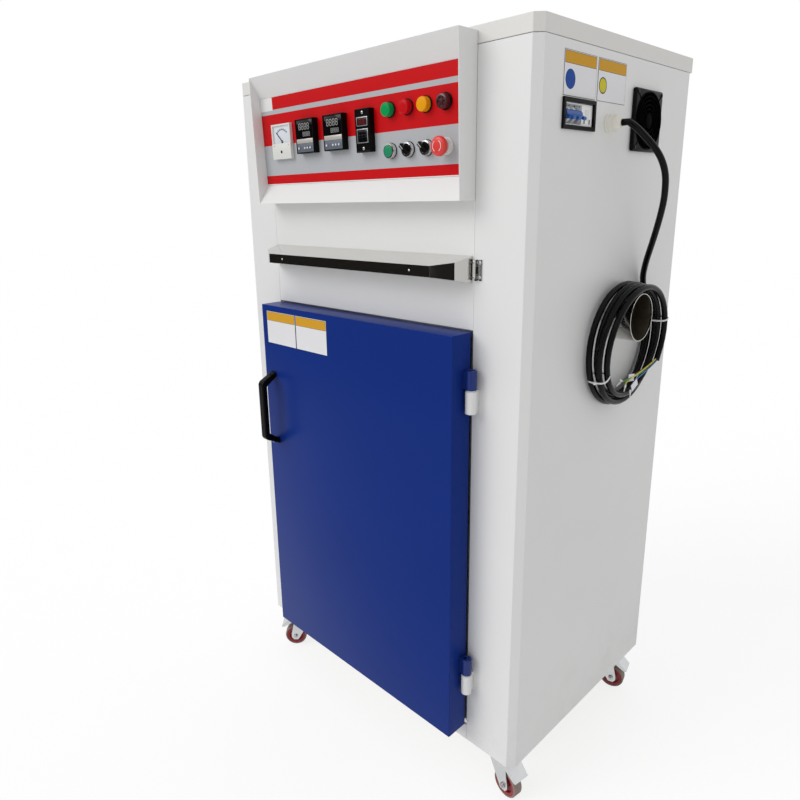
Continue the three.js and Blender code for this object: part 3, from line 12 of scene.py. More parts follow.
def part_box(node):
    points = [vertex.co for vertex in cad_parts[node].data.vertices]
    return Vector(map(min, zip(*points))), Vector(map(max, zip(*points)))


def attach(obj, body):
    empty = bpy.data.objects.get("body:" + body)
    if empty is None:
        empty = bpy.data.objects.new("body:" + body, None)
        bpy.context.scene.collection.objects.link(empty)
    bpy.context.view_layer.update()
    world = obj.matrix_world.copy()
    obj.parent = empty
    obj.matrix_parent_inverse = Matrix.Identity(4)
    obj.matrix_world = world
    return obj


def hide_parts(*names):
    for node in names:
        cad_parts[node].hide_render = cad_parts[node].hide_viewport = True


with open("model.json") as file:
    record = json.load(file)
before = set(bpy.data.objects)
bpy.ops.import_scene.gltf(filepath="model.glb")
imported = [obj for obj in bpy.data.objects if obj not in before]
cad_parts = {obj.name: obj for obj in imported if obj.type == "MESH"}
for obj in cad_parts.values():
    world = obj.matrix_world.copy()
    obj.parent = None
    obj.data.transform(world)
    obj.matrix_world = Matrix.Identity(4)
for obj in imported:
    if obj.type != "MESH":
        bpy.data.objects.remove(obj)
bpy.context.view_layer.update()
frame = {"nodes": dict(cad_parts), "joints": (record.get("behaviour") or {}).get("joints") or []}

LOG = logging.getLogger("oven")

Point = Sequence[float]
Picker = Callable[[Vector, Vector], bool]

# The cabinet's middle and front, from which sizes inside the classes are measured
BODY_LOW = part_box("left_side_panel")[0]
BODY_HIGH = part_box("right_side_panel")[1]
MIDDLE_X = (BODY_LOW.x + BODY_HIGH.x) / 2
FRONT_Y = BODY_LOW.y
SIDE_X = BODY_HIGH.x - MIDDLE_X
PLATE_LEAN = math.atan2(0.0085, 0.2)
PLATE_DEPTH = -0.02275
PLATE_HEIGHT = 1.513
PANEL_FOOT = 0.145
PIPE_Y = 0.317
PIPE_Z = 1.1265
PIPE_RADIUS = 0.05
SETTLE = BODY_LOW.z - PANEL_FOOT
FIT = 0.0003
STICKER_WALL = 0.0004


def cabinet(x: float, y: float, z: float) -> Vector:
    """Turns a place measured from the cabinet's middle and front into the frame.

    Args:
        x: place to the right of the middle.
        y: place behind the front.
        z: height, on a cabinet whose panels end PANEL_FOOT above the floor.

    Returns:
        The place in the frame.
    """
    return Vector((MIDDLE_X + x, FRONT_Y + y, z + SETTLE))


def joint(name: str) -> dict:
    """The record's row of a joint."""
    return next(row for row in frame["joints"] if row["name"] == name)


PLATE = Matrix.Translation(cabinet(0, PLATE_DEPTH, PLATE_HEIGHT)) @ Matrix.Rotation(PLATE_LEAN, 4, "X")


class Facing(Enum):
    """The way that a turned piece points, from its foot to its head."""

    FRONT = Matrix.Rotation(math.pi / 2, 4, "X")
    RIGHT = Matrix.Rotation(math.pi / 2, 4, "Y")


def on_plate(x: float, rise: float, proud: float = 0.0) -> Matrix:
    """The frame of a turned piece that stands on the label plate and points out of it.

    Args:
        x: place across the plate, from its middle.
        rise: place up the plate, from its middle.
        proud: height of the foot above the plate's face.

    Returns:
        A matrix that takes local +Z to the plate's outward normal.
    """
    return PLATE @ Matrix.Translation((x, -proud, rise)) @ Facing.FRONT.value


def on_side(y: float, z: float, proud: float = 0.0) -> Matrix:
    """The frame of a piece on the right side panel, with local +Z pointing out and +Y up."""
    turn = Matrix(((0, 0, 1, 0), (1, 0, 0, 0), (0, 1, 0, 0), (0, 0, 0, 1)))
    return Matrix.Translation(cabinet(SIDE_X + proud, y, z)) @ turn


def on_front(x: float, z: float, proud: float = 0.0) -> Matrix:
    """The frame of a piece on a front face, with local +Z pointing out and +Y up."""
    return Matrix.Translation(cabinet(x, -proud, z)) @ Facing.FRONT.value


# Shader node groups that several finishes share


def add_node(
    tree: bpy.types.NodeTree, kind: str, inputs: Optional[dict] = None, **settings: object
) -> bpy.types.Node:
    """Adds a shader node with its settings and inputs.

    Args:
        tree: the node tree.
        kind: the node's type, without ShaderNode in front.
        inputs: a number, a colour or a socket for each input, by its name or place.
        settings: values of the node's own properties.

    Returns:
        The node.
    """
    node = tree.nodes.new(f"ShaderNode{kind}")
    for label, value in settings.items():
        setattr(node, label, value)
    for label, value in (inputs or {}).items():
        if isinstance(value, bpy.types.NodeSocket):
            tree.links.new(value, node.inputs[label])
        else:
            node.inputs[label].default_value = value
    return node


def new_group(name: str, inputs: dict[str, float], outputs: Sequence[str]) -> bpy.types.NodeTree:
    """Makes an empty shader node group with named sockets.

    Args:
        name: the group's name.
        inputs: input names and their default values.
        outputs: output names.

    Returns:
        The group, with its input and output nodes in place.
    """
    tree = bpy.data.node_groups.new(name, "ShaderNodeTree")
    for label, value in inputs.items():
        socket = tree.interface.new_socket(label, in_out="INPUT", socket_type="NodeSocketFloat")
        socket.default_value = value
    for label in outputs:
        tree.interface.new_socket(label, in_out="OUTPUT", socket_type="NodeSocketFloat")
    tree.nodes.new("NodeGroupInput").name = "in"
    tree.nodes.new("NodeGroupOutput").name = "out"
    return tree


def mottle_group() -> bpy.types.NodeTree:
    """Slow and fast noise on the object's own coordinates, for paint, plastic and rubber."""
    tree = new_group("mottle", {"Slow Scale": 6.0, "Fast Scale": 500.0}, ["Slow", "Fast"])
    spot = add_node(tree, "TexCoord").outputs["Object"]
    for label, detail in (("Slow", 3.0), ("Fast", 1.0)):
        scale = tree.nodes["in"].outputs[f"{label} Scale"]
        noise = add_node(tree, "TexNoise", {"Detail": detail, "Vector": spot, "Scale": scale})
        tree.links.new(noise.outputs["Fac"], tree.nodes["out"].inputs[label])
    return tree


def brush_group() -> bpy.types.NodeTree:
    """Fine lines drawn along one axis, for brushed and rolled metal."""
    tree = new_group("brush_lines", {"Along": 4.0, "Across": 900.0}, ["Lines"])
    given = tree.nodes["in"].outputs
    spot = add_node(tree, "TexCoord").outputs["Object"]
    stretch = add_node(
        tree, "CombineXYZ", {"X": given["Along"], "Y": given["Across"], "Z": given["Across"]}
    )
    scaled = add_node(tree, "VectorMath", {0: spot, 1: stretch.outputs[0]}, operation="MULTIPLY")
    noise = add_node(tree, "TexNoise", {"Scale": 1.0, "Detail": 2.0, "Vector": scaled.outputs[0]})
    tree.links.new(noise.outputs["Fac"], tree.nodes["out"].inputs["Lines"])
    return tree


def grime_group() -> bpy.types.NodeTree:
    """Handling marks and dust: broad patches that are stronger near the floor."""
    tree = new_group("grime", {"Height": 0.35, "Strength": 0.3}, ["Mask"])
    given = tree.nodes["in"].outputs
    spot = add_node(tree, "TexCoord").outputs["Object"]
    height = add_node(tree, "SeparateXYZ", {0: spot}).outputs["Z"]
    fall = add_node(
        tree, "MapRange", {"To Min": 1.0, "To Max": 0.0, "Value": height, "From Max": given["Height"]}
    )
    noise = add_node(tree, "TexNoise", {"Scale": 14.0, "Detail": 6.0, "Roughness": 0.65, "Vector": spot})
    patches = add_node(
        tree, "MapRange", {"From Min": 0.48, "From Max": 0.78, "Value": noise.outputs["Fac"]}
    )
    low = add_node(tree, "Math", {0: fall.outputs[0], 1: patches.outputs[0]}, operation="MULTIPLY")
    mask = add_node(tree, "Math", {0: low.outputs[0], 1: given["Strength"]}, operation="MULTIPLY")
    tree.links.new(mask.outputs[0], tree.nodes["out"].inputs["Mask"])
    return tree


GROUPS: dict[str, bpy.types.NodeTree] = {}


@dataclass(frozen=True)
class Finish:
    """A surface whose colour, gloss and relief come from noise on its own coordinates.

    Attributes:
        name: the material's name.
        colour: linear red, green and blue.
        shade: how much darker the slow patches are.
        roughness: the middle of the roughness range.
        spread: half the roughness range.
        metallic: 1 for bare metal.
        relief: height of the fast relief in metres.
        fast: fineness of the relief, in waves per metre.
        slow: fineness of the patches, in waves per metre.
        coat: clear coat on top.
        specular: specular level of the surface.
        grime: how much dust and marks it carries near the floor.
    """

    name: str
    colour: tuple[float, float, float]
    shade: float = 0.06
    roughness: float = 0.4
    spread: float = 0.05
    metallic: float = 0.0
    relief: float = 0.00002
    fast: float = 500.0
    slow: float = 6.0
    coat: float = 0.0
    specular: float = 0.5
    grime: float = 0.0

    def masks(self, tree: bpy.types.NodeTree) -> tuple[bpy.types.NodeSocket, bpy.types.NodeSocket]:
        """The mask of its patches, and the mask of its relief."""
        scales = {"Slow Scale": self.slow, "Fast Scale": self.fast}
        noise = add_node(tree, "Group", scales, node_tree=GROUPS["mottle"])
        return noise.outputs["Slow"], noise.outputs["Fast"]

    def paint(self, tree: bpy.types.NodeTree, mask: bpy.types.NodeSocket) -> bpy.types.NodeSocket:
        """Its colour, with patches and, where it has any, with grime."""
        dark = tuple(channel * (1.0 - self.shade) for channel in self.colour)
        shades = {"A": (*self.colour, 1.0), "B": (*dark, 1.0), "Factor": mask}
        last = add_node(tree, "Mix", shades, data_type="RGBA").outputs["Result"]
        if self.grime > 0:
            dust = add_node(tree, "Group", {"Strength": self.grime}, node_tree=GROUPS["grime"])
            shades = {"A": last, "B": (*DUST, 1.0), "Factor": dust.outputs["Mask"]}
            last = add_node(tree, "Mix", shades, data_type="RGBA").outputs["Result"]
        return last

    def build(self) -> bpy.types.Material:
        """Makes the material, with its masks in its colour, roughness and relief."""
        material = bpy.data.materials.new(self.name)
        material.use_nodes = True
        tree = material.node_tree
        shader = tree.nodes["Principled BSDF"]
        for label, value in {
            "Base Color": (*self.colour, 1.0),
            "Roughness": self.roughness,
            "Metallic": self.metallic,
            "Coat Weight": self.coat,
            "Coat Roughness": 0.08,
            "Specular IOR Level": self.specular,
        }.items():
            shader.inputs[label].default_value = value
        patches, relief = self.masks(tree)
        rough = add_node(tree, "MapRange", {
            "To Min": max(self.roughness - self.spread, 0.02),
            "To Max": self.roughness + self.spread,
            "Value": patches,
        })
        bump = add_node(tree, "Bump", {"Distance": self.relief, "Height": relief})
        tree.links.new(self.paint(tree, patches), shader.inputs["Base Color"])
        tree.links.new(rough.outputs[0], shader.inputs["Roughness"])
        tree.links.new(bump.outputs["Normal"], shader.inputs["Normal"])
        return material


@dataclass(frozen=True)
class BrushedFinish(Finish):
    """Metal with fine lines along one of its axes.

    Attributes:
        metallic: 1, as it is bare metal.
        along: waves per metre along the lines.
        across: waves per metre across them.
    """

    metallic: float = 1.0
    along: float = 4.0
    across: float = 900.0

    def masks(self, tree: bpy.types.NodeTree) -> tuple[bpy.types.NodeSocket, bpy.types.NodeSocket]:
        """Its lines, for its colour and gloss as well as its relief."""
        scales = {"Along": self.along, "Across": self.across}
        lines = add_node(tree, "Group", scales, node_tree=GROUPS["brush"]).outputs["Lines"]
        return lines, lines


@dataclass(frozen=True)
class BandFinish(Finish):
    """A printed film with level bands, one above another.

    Attributes:
        bands: the height at which each band starts, with its colour, from the lowest up.
        left_end: where the topmost band starts across the plate.
        left_from: height above which left_end holds.
    """

    bands: tuple[tuple[float, tuple[float, float, float]], ...] = ()
    left_end: float = 0.0
    left_from: float = 1.5835

    def paint(self, tree: bpy.types.NodeTree, mask: bpy.types.NodeSocket) -> bpy.types.NodeSocket:
        """Hard-edged bands over the object's height, the topmost one white at its left end."""
        spot = add_node(tree, "TexCoord").outputs["Object"]
        place = add_node(tree, "SeparateXYZ", {0: spot}).outputs
        low, high = self.bands[0][0], self.bands[-1][0]
        range_ends = {"From Min": low + SETTLE, "From Max": high + SETTLE}
        level = add_node(tree, "MapRange", {"Value": place["Z"], **range_ends})
        ramp = add_node(tree, "ValToRGB", {"Fac": level.outputs[0]})
        ramp.color_ramp.interpolation = "CONSTANT"
        stops = ramp.color_ramp.elements
        while len(stops) < len(self.bands):
            stops.new(0.5)
        for stop, (start, colour) in zip(stops, self.bands):
            stop.position = (start - low) / (high - low)
            stop.color = (*colour, 1.0)
        left = add_node(tree, "Math", {0: place["X"], 1: self.left_end}, operation="LESS_THAN")
        limit = self.left_from + SETTLE
        above = add_node(tree, "Math", {0: place["Z"], 1: limit}, operation="GREATER_THAN")
        both = add_node(tree, "Math", {0: left.outputs[0], 1: above.outputs[0]}, operation="MULTIPLY")
        shades = {"A": ramp.outputs["Color"], "B": (*WHITE, 1.0), "Factor": both.outputs[0]}
        bands = add_node(tree, "Mix", shades, data_type="RGBA")
        shades = {"Factor": 1.0, "A": bands.outputs["Result"], "B": super().paint(tree, mask)}
        mixed = add_node(tree, "Mix", shades, data_type="RGBA", blend_type="MULTIPLY")
        return mixed.outputs["Result"]


WHITE = (0.80, 0.80, 0.795)
RED = (0.60, 0.004, 0.007)
SILVER = (0.47, 0.48, 0.50)
DUST = (0.32, 0.29, 0.25)

FINISHES: dict[str, Finish] = {
    finish.name: finish
    for finish in (
        Finish("white_powder_coat", WHITE, 0.03, 0.42, 0.05, relief=0.00003, fast=700, grime=0.25),
        Finish("cap_powder_coat", (0.76, 0.745, 0.72), 0.04, 0.42, 0.05, relief=0.00003, fast=700),
        Finish("blue_gloss_coat", (0.0080, 0.031, 0.215), 0.12, 0.3, 0.05, relief=0.00003, fast=420,
               specular=0.05, slow=4),
        Finish("blue_barrel_coat", (0.009, 0.030, 0.19), 0.15, 0.3, 0.05, relief=0.00005, fast=300,
               specular=0.3),
        BrushedFinish("brushed_stainless", (0.60, 0.59, 0.57), 0.12, 0.3, 0.07, relief=0.00001),
        BrushedFinish("pipe_steel", (0.62, 0.60, 0.57), 0.10, 0.16, 0.05, relief=0.00001),
        BrushedFinish("pipe_inside", (0.30, 0.26, 0.20), 0.25, 0.42, 0.08, relief=0.00003, across=300),
        BrushedFinish("polished_steel", (0.66, 0.65, 0.63), 0.04, 0.05, 0.015, relief=0.000002,
                      across=500),
        Finish("chrome_bezel", (0.74, 0.74, 0.74), 0.04, 0.12, 0.03, 1.0, 0.000003),
        Finish("bright_zinc", (0.66, 0.67, 0.68), 0.16, 0.26, 0.08, 1.0, 0.00003, 120, 30),
        Finish("screw_zinc", (0.56, 0.56, 0.55), 0.2, 0.3, 0.08, 1.0, 0.00002, 300, 40),
        Finish("galvanised_sheet", (0.50, 0.51, 0.52), 0.25, 0.42, 0.1, 1.0, 0.00003, 120, 60),
        Finish("heater_sheath", (0.11, 0.09, 0.08), 0.3, 0.55, 0.1, 0.9, 0.00003),
        Finish("motor_enamel", (0.12, 0.16, 0.19), 0.12, 0.5, 0.06),
        Finish("silicone_seal", (0.012, 0.012, 0.014), 0.12, 0.65, 0.06, specular=0.2),
        Finish("mineral_wool", (0.56, 0.46, 0.18), 0.35, 0.95, 0.04, relief=0.001, fast=220, slow=25),
        Finish("black_moulding", (0.0035, 0.0035, 0.004), 0.2, 0.36, 0.07, relief=0.00004, fast=900,
               specular=0.08),
        Finish("black_matt", (0.0015, 0.0015, 0.0017), 0.2, 0.7, 0.07, specular=0.02),
        Finish("black_gloss", (0.003, 0.003, 0.0035), 0.2, 0.16, 0.04, specular=0.14),
        Finish("display_glass", (0.004, 0.004, 0.005), 0.2, 0.08, 0.02, specular=0.2),
        Finish("white_moulding", (0.76, 0.76, 0.73), 0.05, 0.36, 0.05),
        Finish("breaker_white", (0.93, 0.93, 0.92), 0.04, 0.4, 0.05),
        Finish("grey_moulding", (0.13, 0.15, 0.19), 0.1, 0.42, 0.06),
        Finish("satin_strip", (0.62, 0.59, 0.54), 0.1, 0.34, 0.06, 0.3),
        Finish("dial_white", (0.74, 0.77, 0.82), 0.03, 0.3, 0.05, coat=0.2, specular=0.15),
        Finish("dial_print", (0.05, 0.09, 0.20), 0.06, 0.45, 0.05, specular=0.15),
        Finish("digit_white", (0.48, 0.49, 0.47), 0.05, 0.5, 0.05),
        Finish("digit_red", (0.33, 0.02, 0.02), 0.05, 0.4, 0.05),
        Finish("print_blue", (0.008, 0.065, 0.33), 0.06, 0.45, 0.05, specular=0.12),
        Finish("print_yellow", (0.66, 0.34, 0.02), 0.06, 0.45, 0.05, specular=0.12),
        Finish("print_lemon", (0.66, 0.58, 0.03), 0.06, 0.45, 0.05, specular=0.12),
        Finish("print_black", (0.010, 0.010, 0.010), 0.06, 0.45, 0.05, specular=0.15),
        Finish("sticker_white", (0.78, 0.78, 0.80), 0.03, 0.35, 0.05),
        Finish("nylon", (0.88, 0.86, 0.77), 0.06, 0.42, 0.06),
        Finish("tie_nylon", (0.80, 0.80, 0.80), 0.05, 0.4, 0.06),
        Finish("lamp_green", (0.004, 0.33, 0.085), 0.1, 0.25, 0.04, specular=0.12),
        Finish("lamp_red", (0.58, 0.006, 0.010), 0.1, 0.25, 0.04, specular=0.12),
        Finish("lamp_yellow", (0.85, 0.36, 0.006), 0.1, 0.25, 0.04, specular=0.12),
        Finish("buzzer_red", (0.070, 0.012, 0.016), 0.2, 0.3, 0.05, coat=0.3),
        Finish("button_green", (0.008, 0.26, 0.12), 0.1, 0.35, 0.05),
        Finish("stop_red", (0.76, 0.040, 0.032), 0.08, 0.34, 0.05),
        Finish("toggle_blue", (0.014, 0.10, 0.40), 0.1, 0.4, 0.05),
        Finish("cord_rubber", (0.0018, 0.0018, 0.002), 0.25, 0.26, 0.06, relief=0.00005, fast=250,
               slow=30, specular=0.13),
        Finish("wire_blue", (0.01, 0.12, 0.36), 0.1, 0.4, 0.05),
        Finish("wire_green", (0.03, 0.32, 0.08), 0.1, 0.4, 0.05),
        Finish("wire_yellow", (0.75, 0.66, 0.05), 0.1, 0.4, 0.05),
        Finish("wire_brown", (0.14, 0.025, 0.02), 0.1, 0.4, 0.05),
        Finish("wheel_red", (0.30, 0.018, 0.028), 0.2, 0.45, 0.08, relief=0.0001, fast=200, slow=40),
        Finish("wheel_tread", (0.34, 0.25, 0.22), 0.35, 0.7, 0.08, relief=0.0003, fast=160, slow=45,
               grime=0.5),
        BandFinish(
            "label_film", (1.0, 1.0, 1.0), 0.05, 0.38, 0.05, specular=0.12, slow=9, left_end=-0.3045,
            bands=(
                (1.400, WHITE),
                (1.4152, RED),
                (1.4350, SILVER),
                (1.5040, RED),
                (1.5740, SILVER),
                (1.5840, RED),
                (1.6120, WHITE),
                (1.6200, WHITE),
            ),
        ),
    )
}
MADE: dict[str, bpy.types.Material] = {}


def finish_of(name: str) -> bpy.types.Material:
    """Gives the material of that finish, and makes it the first time."""
    if name not in MADE:
        MADE[name] = FINISHES[name].build()
    return MADE[name]


# Modelling tools


def clear() -> None:
    """Leaves edit mode and deselects everything."""
    if bpy.context.object is not None and bpy.context.object.mode != "OBJECT":
        bpy.ops.object.mode_set(mode="OBJECT")
    bpy.ops.object.select_all(action="DESELECT")


def take(piece: bpy.types.Object) -> None:
    """Makes a piece the only selected and the active one."""
    clear()
    piece.select_set(True)
    bpy.context.view_layer.objects.active = piece


def place(piece: bpy.types.Object, matrix: Matrix) -> bpy.types.Object:
    """Moves a piece's mesh, and leaves its object at the origin."""
    piece.data.transform(matrix)
    return piece


def bevelled(
    piece: bpy.types.Object, width: float, segments: int = 2, limit: float = 30
) -> bpy.types.Object:
    """Rounds a piece's edges.

    Args:
        piece: the piece.
        width: how far the rounding reaches from each edge.
        segments: faces across each rounding.
        limit: least angle in degrees of an edge that is rounded.

    Returns:
        The piece.
    """
    take(piece)
    bevel = piece.modifiers.new("soft_edges", "BEVEL")
    bevel.width = width
    bevel.segments = segments
    bevel.limit_method = "ANGLE"
    bevel.angle_limit = math.radians(limit)
    bpy.ops.object.modifier_apply(modifier=bevel.name)
    return piece


def block(low: Point, high: Point, bevel: float = 0.0, segments: int = 2) -> bpy.types.Object:
    """Adds a cube, sizes it between two corners and rounds its edges.

    Args:
        low: lowest corner.
        high: highest corner.
        bevel: width of the rounding.
        segments: faces across the rounding.

    Returns:
        The piece.
    """
    clear()
    low, high = Vector(low), Vector(high)
    bpy.ops.mesh.primitive_cube_add(size=1, location=(low + high) / 2, scale=high - low)
    bpy.ops.object.transform_apply(location=True, rotation=True, scale=True)
    piece = bpy.context.object
    return bevelled(piece, bevel, segments) if bevel > 0 else piece


def span(centre: Point, size: Point) -> tuple[Vector, Vector]:
    """The two corners of a box round a centre."""
    centre, half = Vector(centre), Vector(size) / 2
    return centre - half, centre + half


def turned(
    profile: Sequence[tuple[float, float]], sides: int = 48, closed: bool = False
) -> bpy.types.Object:
    """Adds a circle and draws it up a profile, as on a lathe.

    Args:
        profile: radius and height of each ring, from the foot up.
        sides: faces round the piece.
        closed: True where the profile ends where it starts, as on a ring or a tube.

    Returns:
        The piece, round local Z.
    """
    clear()
    foot = profile[0]
    fill = "NOTHING" if closed else "NGON"
    bpy.ops.mesh.primitive_circle_add(vertices=sides, radius=foot[0], fill_type=fill)
    piece = bpy.context.object
    bpy.ops.object.mode_set(mode="EDIT")
    bpy.ops.mesh.select_all(action="SELECT")
    extrude = bpy.ops.mesh.extrude_edges_move if closed else bpy.ops.mesh.extrude_region_move
    for (radius, height), (next_radius, next_height) in zip(profile, profile[1:]):
        extrude(TRANSFORM_OT_translate={"value": (0, 0, next_height - height)})
        ratio = next_radius / radius
        if abs(ratio - 1) > 1e-9:
            centre = (0, 0, next_height - foot[1])
            bpy.ops.transform.resize(value=(ratio, ratio, 1), center_override=centre)
    bpy.ops.mesh.select_all(action="SELECT")
    if closed:
        bpy.ops.mesh.remove_doubles(threshold=1e-6)
    bpy.ops.mesh.normals_make_consistent(inside=False)
    bpy.ops.object.mode_set(mode="OBJECT")
    return place(piece, Matrix.Translation((0, 0, foot[1])))


def domed(radius: float, foot: float, height: float, steps: int = 6) -> list[tuple[float, float]]:
    """The upper end of a profile: a quarter of an ellipse.

    Args:
        radius: radius at the foot of the dome.
        foot: height of its foot.
        height: rise of the dome.
        steps: rings in it.

    Returns:
        Radius and height of each ring.
    """
    angles = [i / steps * math.pi / 2 for i in range(steps)]
    rings = [(radius * math.cos(a), foot + height * math.sin(a)) for a in angles]
    return [*rings, (radius * 0.04, foot + height)]


def pick_faces(piece: bpy.types.Object, wanted: Picker) -> None:
    """Selects faces by their normal and centre, and stays in edit mode."""
    take(piece)
    bpy.ops.object.mode_set(mode="EDIT")
    bpy.context.tool_settings.mesh_select_mode = (False, False, True)
    bpy.ops.mesh.select_all(action="DESELECT")
    bpy.ops.object.mode_set(mode="OBJECT")
    for face in piece.data.polygons:
        face.select = wanted(face.normal, face.center)
    bpy.ops.object.mode_set(mode="EDIT")


def sunk(piece: bpy.types.Object, wanted: Picker, inset: float, push: Point) -> bpy.types.Object:
    """Insets the picked faces and pushes what is inside them.

    Args:
        piece: the piece.
        wanted: says which faces, from their normal and centre.
        inset: width of the rim that stays.
        push: how the inner face moves.

    Returns:
        The piece.
    """
    pick_faces(piece, wanted)
    bpy.ops.mesh.inset(thickness=inset, use_even_offset=True)
    bpy.ops.mesh.extrude_region_move(TRANSFORM_OT_translate={"value": tuple(push)})
    bpy.ops.object.mode_set(mode="OBJECT")
    return piece


def curve_through(
    name: str, points: Sequence[Point], radius: float, sides: int, filled: bool
) -> bpy.types.Object:
    """Adds a curve through points with a round section.

    Args:
        name: its name.
        points: the centreline.
        radius: radius of the section.
        sides: bevel resolution of the section.
        filled: True to close both ends.

    Returns:
        The curve.
    """
    data = bpy.data.curves.new(name, "CURVE")
    data.dimensions = "3D"
    data.bevel_depth = radius
    data.bevel_resolution = sides
    data.use_fill_caps = filled
    line = data.splines.new("POLY")
    line.points.add(len(points) - 1)
    for spot, point in zip(line.points, points):
        spot.co = (*point, 1.0)
    curve = bpy.data.objects.new(name, data)
    bpy.context.scene.collection.objects.link(curve)
    return curve


def tube(
    points: Sequence[Point], radius: float, sides: int = 3, filled: bool = True
) -> bpy.types.Object:
    """Adds a round bar through points, as a mesh.

    Args:
        points: the centreline.
        radius: radius of the section.
        sides: bevel resolution of the section.
        filled: True to close both ends.

    Returns:
        The piece.
    """
    clear()
    take(curve_through("tube", points, radius, sides, filled))
    bpy.ops.object.convert(target="MESH")
    return bpy.context.object


def joined(pieces: Sequence[bpy.types.Object]) -> bpy.types.Object:
    """Joins pieces that are one thing, such as the strokes of a digit."""
    take(pieces[0])
    for piece in pieces[1:]:
        piece.select_set(True)
    bpy.ops.object.join()
    return bpy.context.object


def copied(piece: bpy.types.Object, matrix: Matrix) -> bpy.types.Object:
    """A copy with its own mesh, moved by a matrix."""
    twin = piece.copy()
    twin.data = piece.data.copy()
    bpy.context.scene.collection.objects.link(twin)
    return place(twin, matrix)


def carved(piece: bpy.types.Object, cutters: Sequence[bpy.types.Object]) -> bpy.types.Object:
    """Cuts shapes out of a piece and deletes the cutters."""
    for cutter in cutters:
        take(piece)
        cut = piece.modifiers.new("cut", "BOOLEAN")
        cut.operation = "DIFFERENCE"
        cut.solver = "EXACT"
        cut.object = cutter
        bpy.ops.object.modifier_apply(modifier=cut.name)
        bpy.data.objects.remove(cutter)
    return piece


@dataclass
class Assembly:
    """A sub-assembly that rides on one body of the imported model.

    Attributes:
        body: the body that its pieces ride on.
        made: the pieces that it has made.
    """

    body: str = "cabinet"
    made: list[bpy.types.Object] = field(default_factory=list)

    def keep(
        self,
        piece: bpy.types.Object,
        name: str,
        finish: str,
        slot: str,
        replaces: Sequence[str] = (),
        body: Optional[str] = None,
        smooth: float = 35,
    ) -> bpy.types.Object:
        """Names, smooths and dresses a finished piece, and hangs it on its body.

        Args:
            piece: the piece, with its place in its mesh.
            name: its name.
            finish: the finish that it wears.
            slot: the record's material slot that it belongs to; not used.
            replaces: CAD nodes that it stands for.
            body: the body it rides on, if not the assembly's.
            smooth: edges sharper than this angle stay sharp.

        Returns:
            The piece.
        """
        take(piece)
        bpy.ops.object.shade_smooth_by_angle(angle=math.radians(smooth))
        piece.name = name
        piece.data.name = name
        piece.data.materials.clear()
        piece.data.materials.append(finish_of(finish))
        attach(piece, body or self.body)
        if replaces:
            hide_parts(*replaces)
        self.made.append(piece)
        clear()
        return piece

    def dress(self, finish: str, *nodes: str, fold: float = 0.0) -> None:
        """Gives CAD nodes that stay in view their finish, and rounds their edges by fold."""
        for name in nodes:
            node = frame["nodes"][name]
            if not node.material_slots:
                node.data.materials.append(None)
            for slot in node.material_slots:
                slot.material = finish_of(finish)
            if fold > 0:
                self.fold_edges(node, fold)

    def fold_edges(self, node: bpy.types.Object, width: float) -> None:
        """Rounds the edges of a CAD node with modifiers that stay live."""
        weld = node.modifiers.new("weld", "WELD")
        weld.merge_threshold = 0.00001
        flat = node.modifiers.new("flat_faces", "DECIMATE")
        flat.decimate_type = "DISSOLVE"
        flat.angle_limit = math.radians(0.5)
        bevel = node.modifiers.new("bend", "BEVEL")
        bevel.width = width
        bevel.segments = 2
        bevel.limit_method = "ANGLE"
        bevel.angle_limit = math.radians(30)

    def sticker(
        self, name: str, where: Matrix, size: tuple[float, float], disc: str = "", radius: float = 0.0
    ) -> None:
        """A blank sticker with a yellow header and, if it has one, a plain disc on its left.

        Args:
            name: the sticker's name.
            where: its frame, with local +Z out and +Y up.
            size: width and height.
            disc: finish of the disc, empty for none.
            radius: radius of the disc.
        """
        width, height = size
        wall = STICKER_WALL
        header = height * 0.29
        edge = 0.0007
        line = 0.0011
        rim = block(
            (-width / 2 - edge, -height / 2 - edge, 0), (width / 2 + edge, height / 2 + edge, wall / 2)
        )
        rim = place(bevelled(rim, wall / 8, 1), where)
        self.keep(rim, f"{name}_edge", "print_black", "black_plastic")
        sheet = block((-width / 2, -height / 2, 0), (width / 2, height / 2, wall), wall / 3, 1)
        self.keep(place(sheet, where), name, "sticker_white", "white_plastic")
        outline = block(
            (-width / 2 + line, height / 2 - header, wall),
            (width / 2 - line, height / 2 - line, wall * 1.25), wall / 6, 1,
        )
        self.keep(place(outline, where), f"{name}_outline", "print_black", "black_plastic")
        band = block(
            (-width / 2 + line * 1.6, height / 2 - header + line * 0.6, wall * 1.25),
            (width / 2 - line * 1.6, height / 2 - line * 1.6, wall * 1.5), wall / 6, 1,
        )
        self.keep(place(band, where), f"{name}_header", "print_yellow", "lamp_yellow")
        if not disc:
            return
        centre = Matrix.Translation((-width / 2 + radius + 0.004, -header / 2 + 0.001, 0))
        if disc == "print_lemon":
            ring = turned([(radius, wall), (radius, wall * 1.25), (radius * 0.98, wall * 1.3)], 40)
            self.keep(place(ring, where @ centre), f"{name}_ring", "print_black", "black_plastic")
            radius *= 0.86
        spot = turned([(radius, wall), (radius, wall * 1.4), (radius * 0.97, wall * 1.5)], 40)
        self.keep(place(spot, where @ centre), f"{name}_disc", disc, "toggle_blue")

    def build(self) -> None:
        """Builds and dresses the sub-assembly."""
        raise NotImplementedError


def aimed(spot: Point, way: Vector) -> Matrix:
    """The frame at a spot whose local +Z points a given way."""
    return Matrix.Translation(spot) @ way.to_track_quat("Z", "Y").to_matrix().to_4x4()


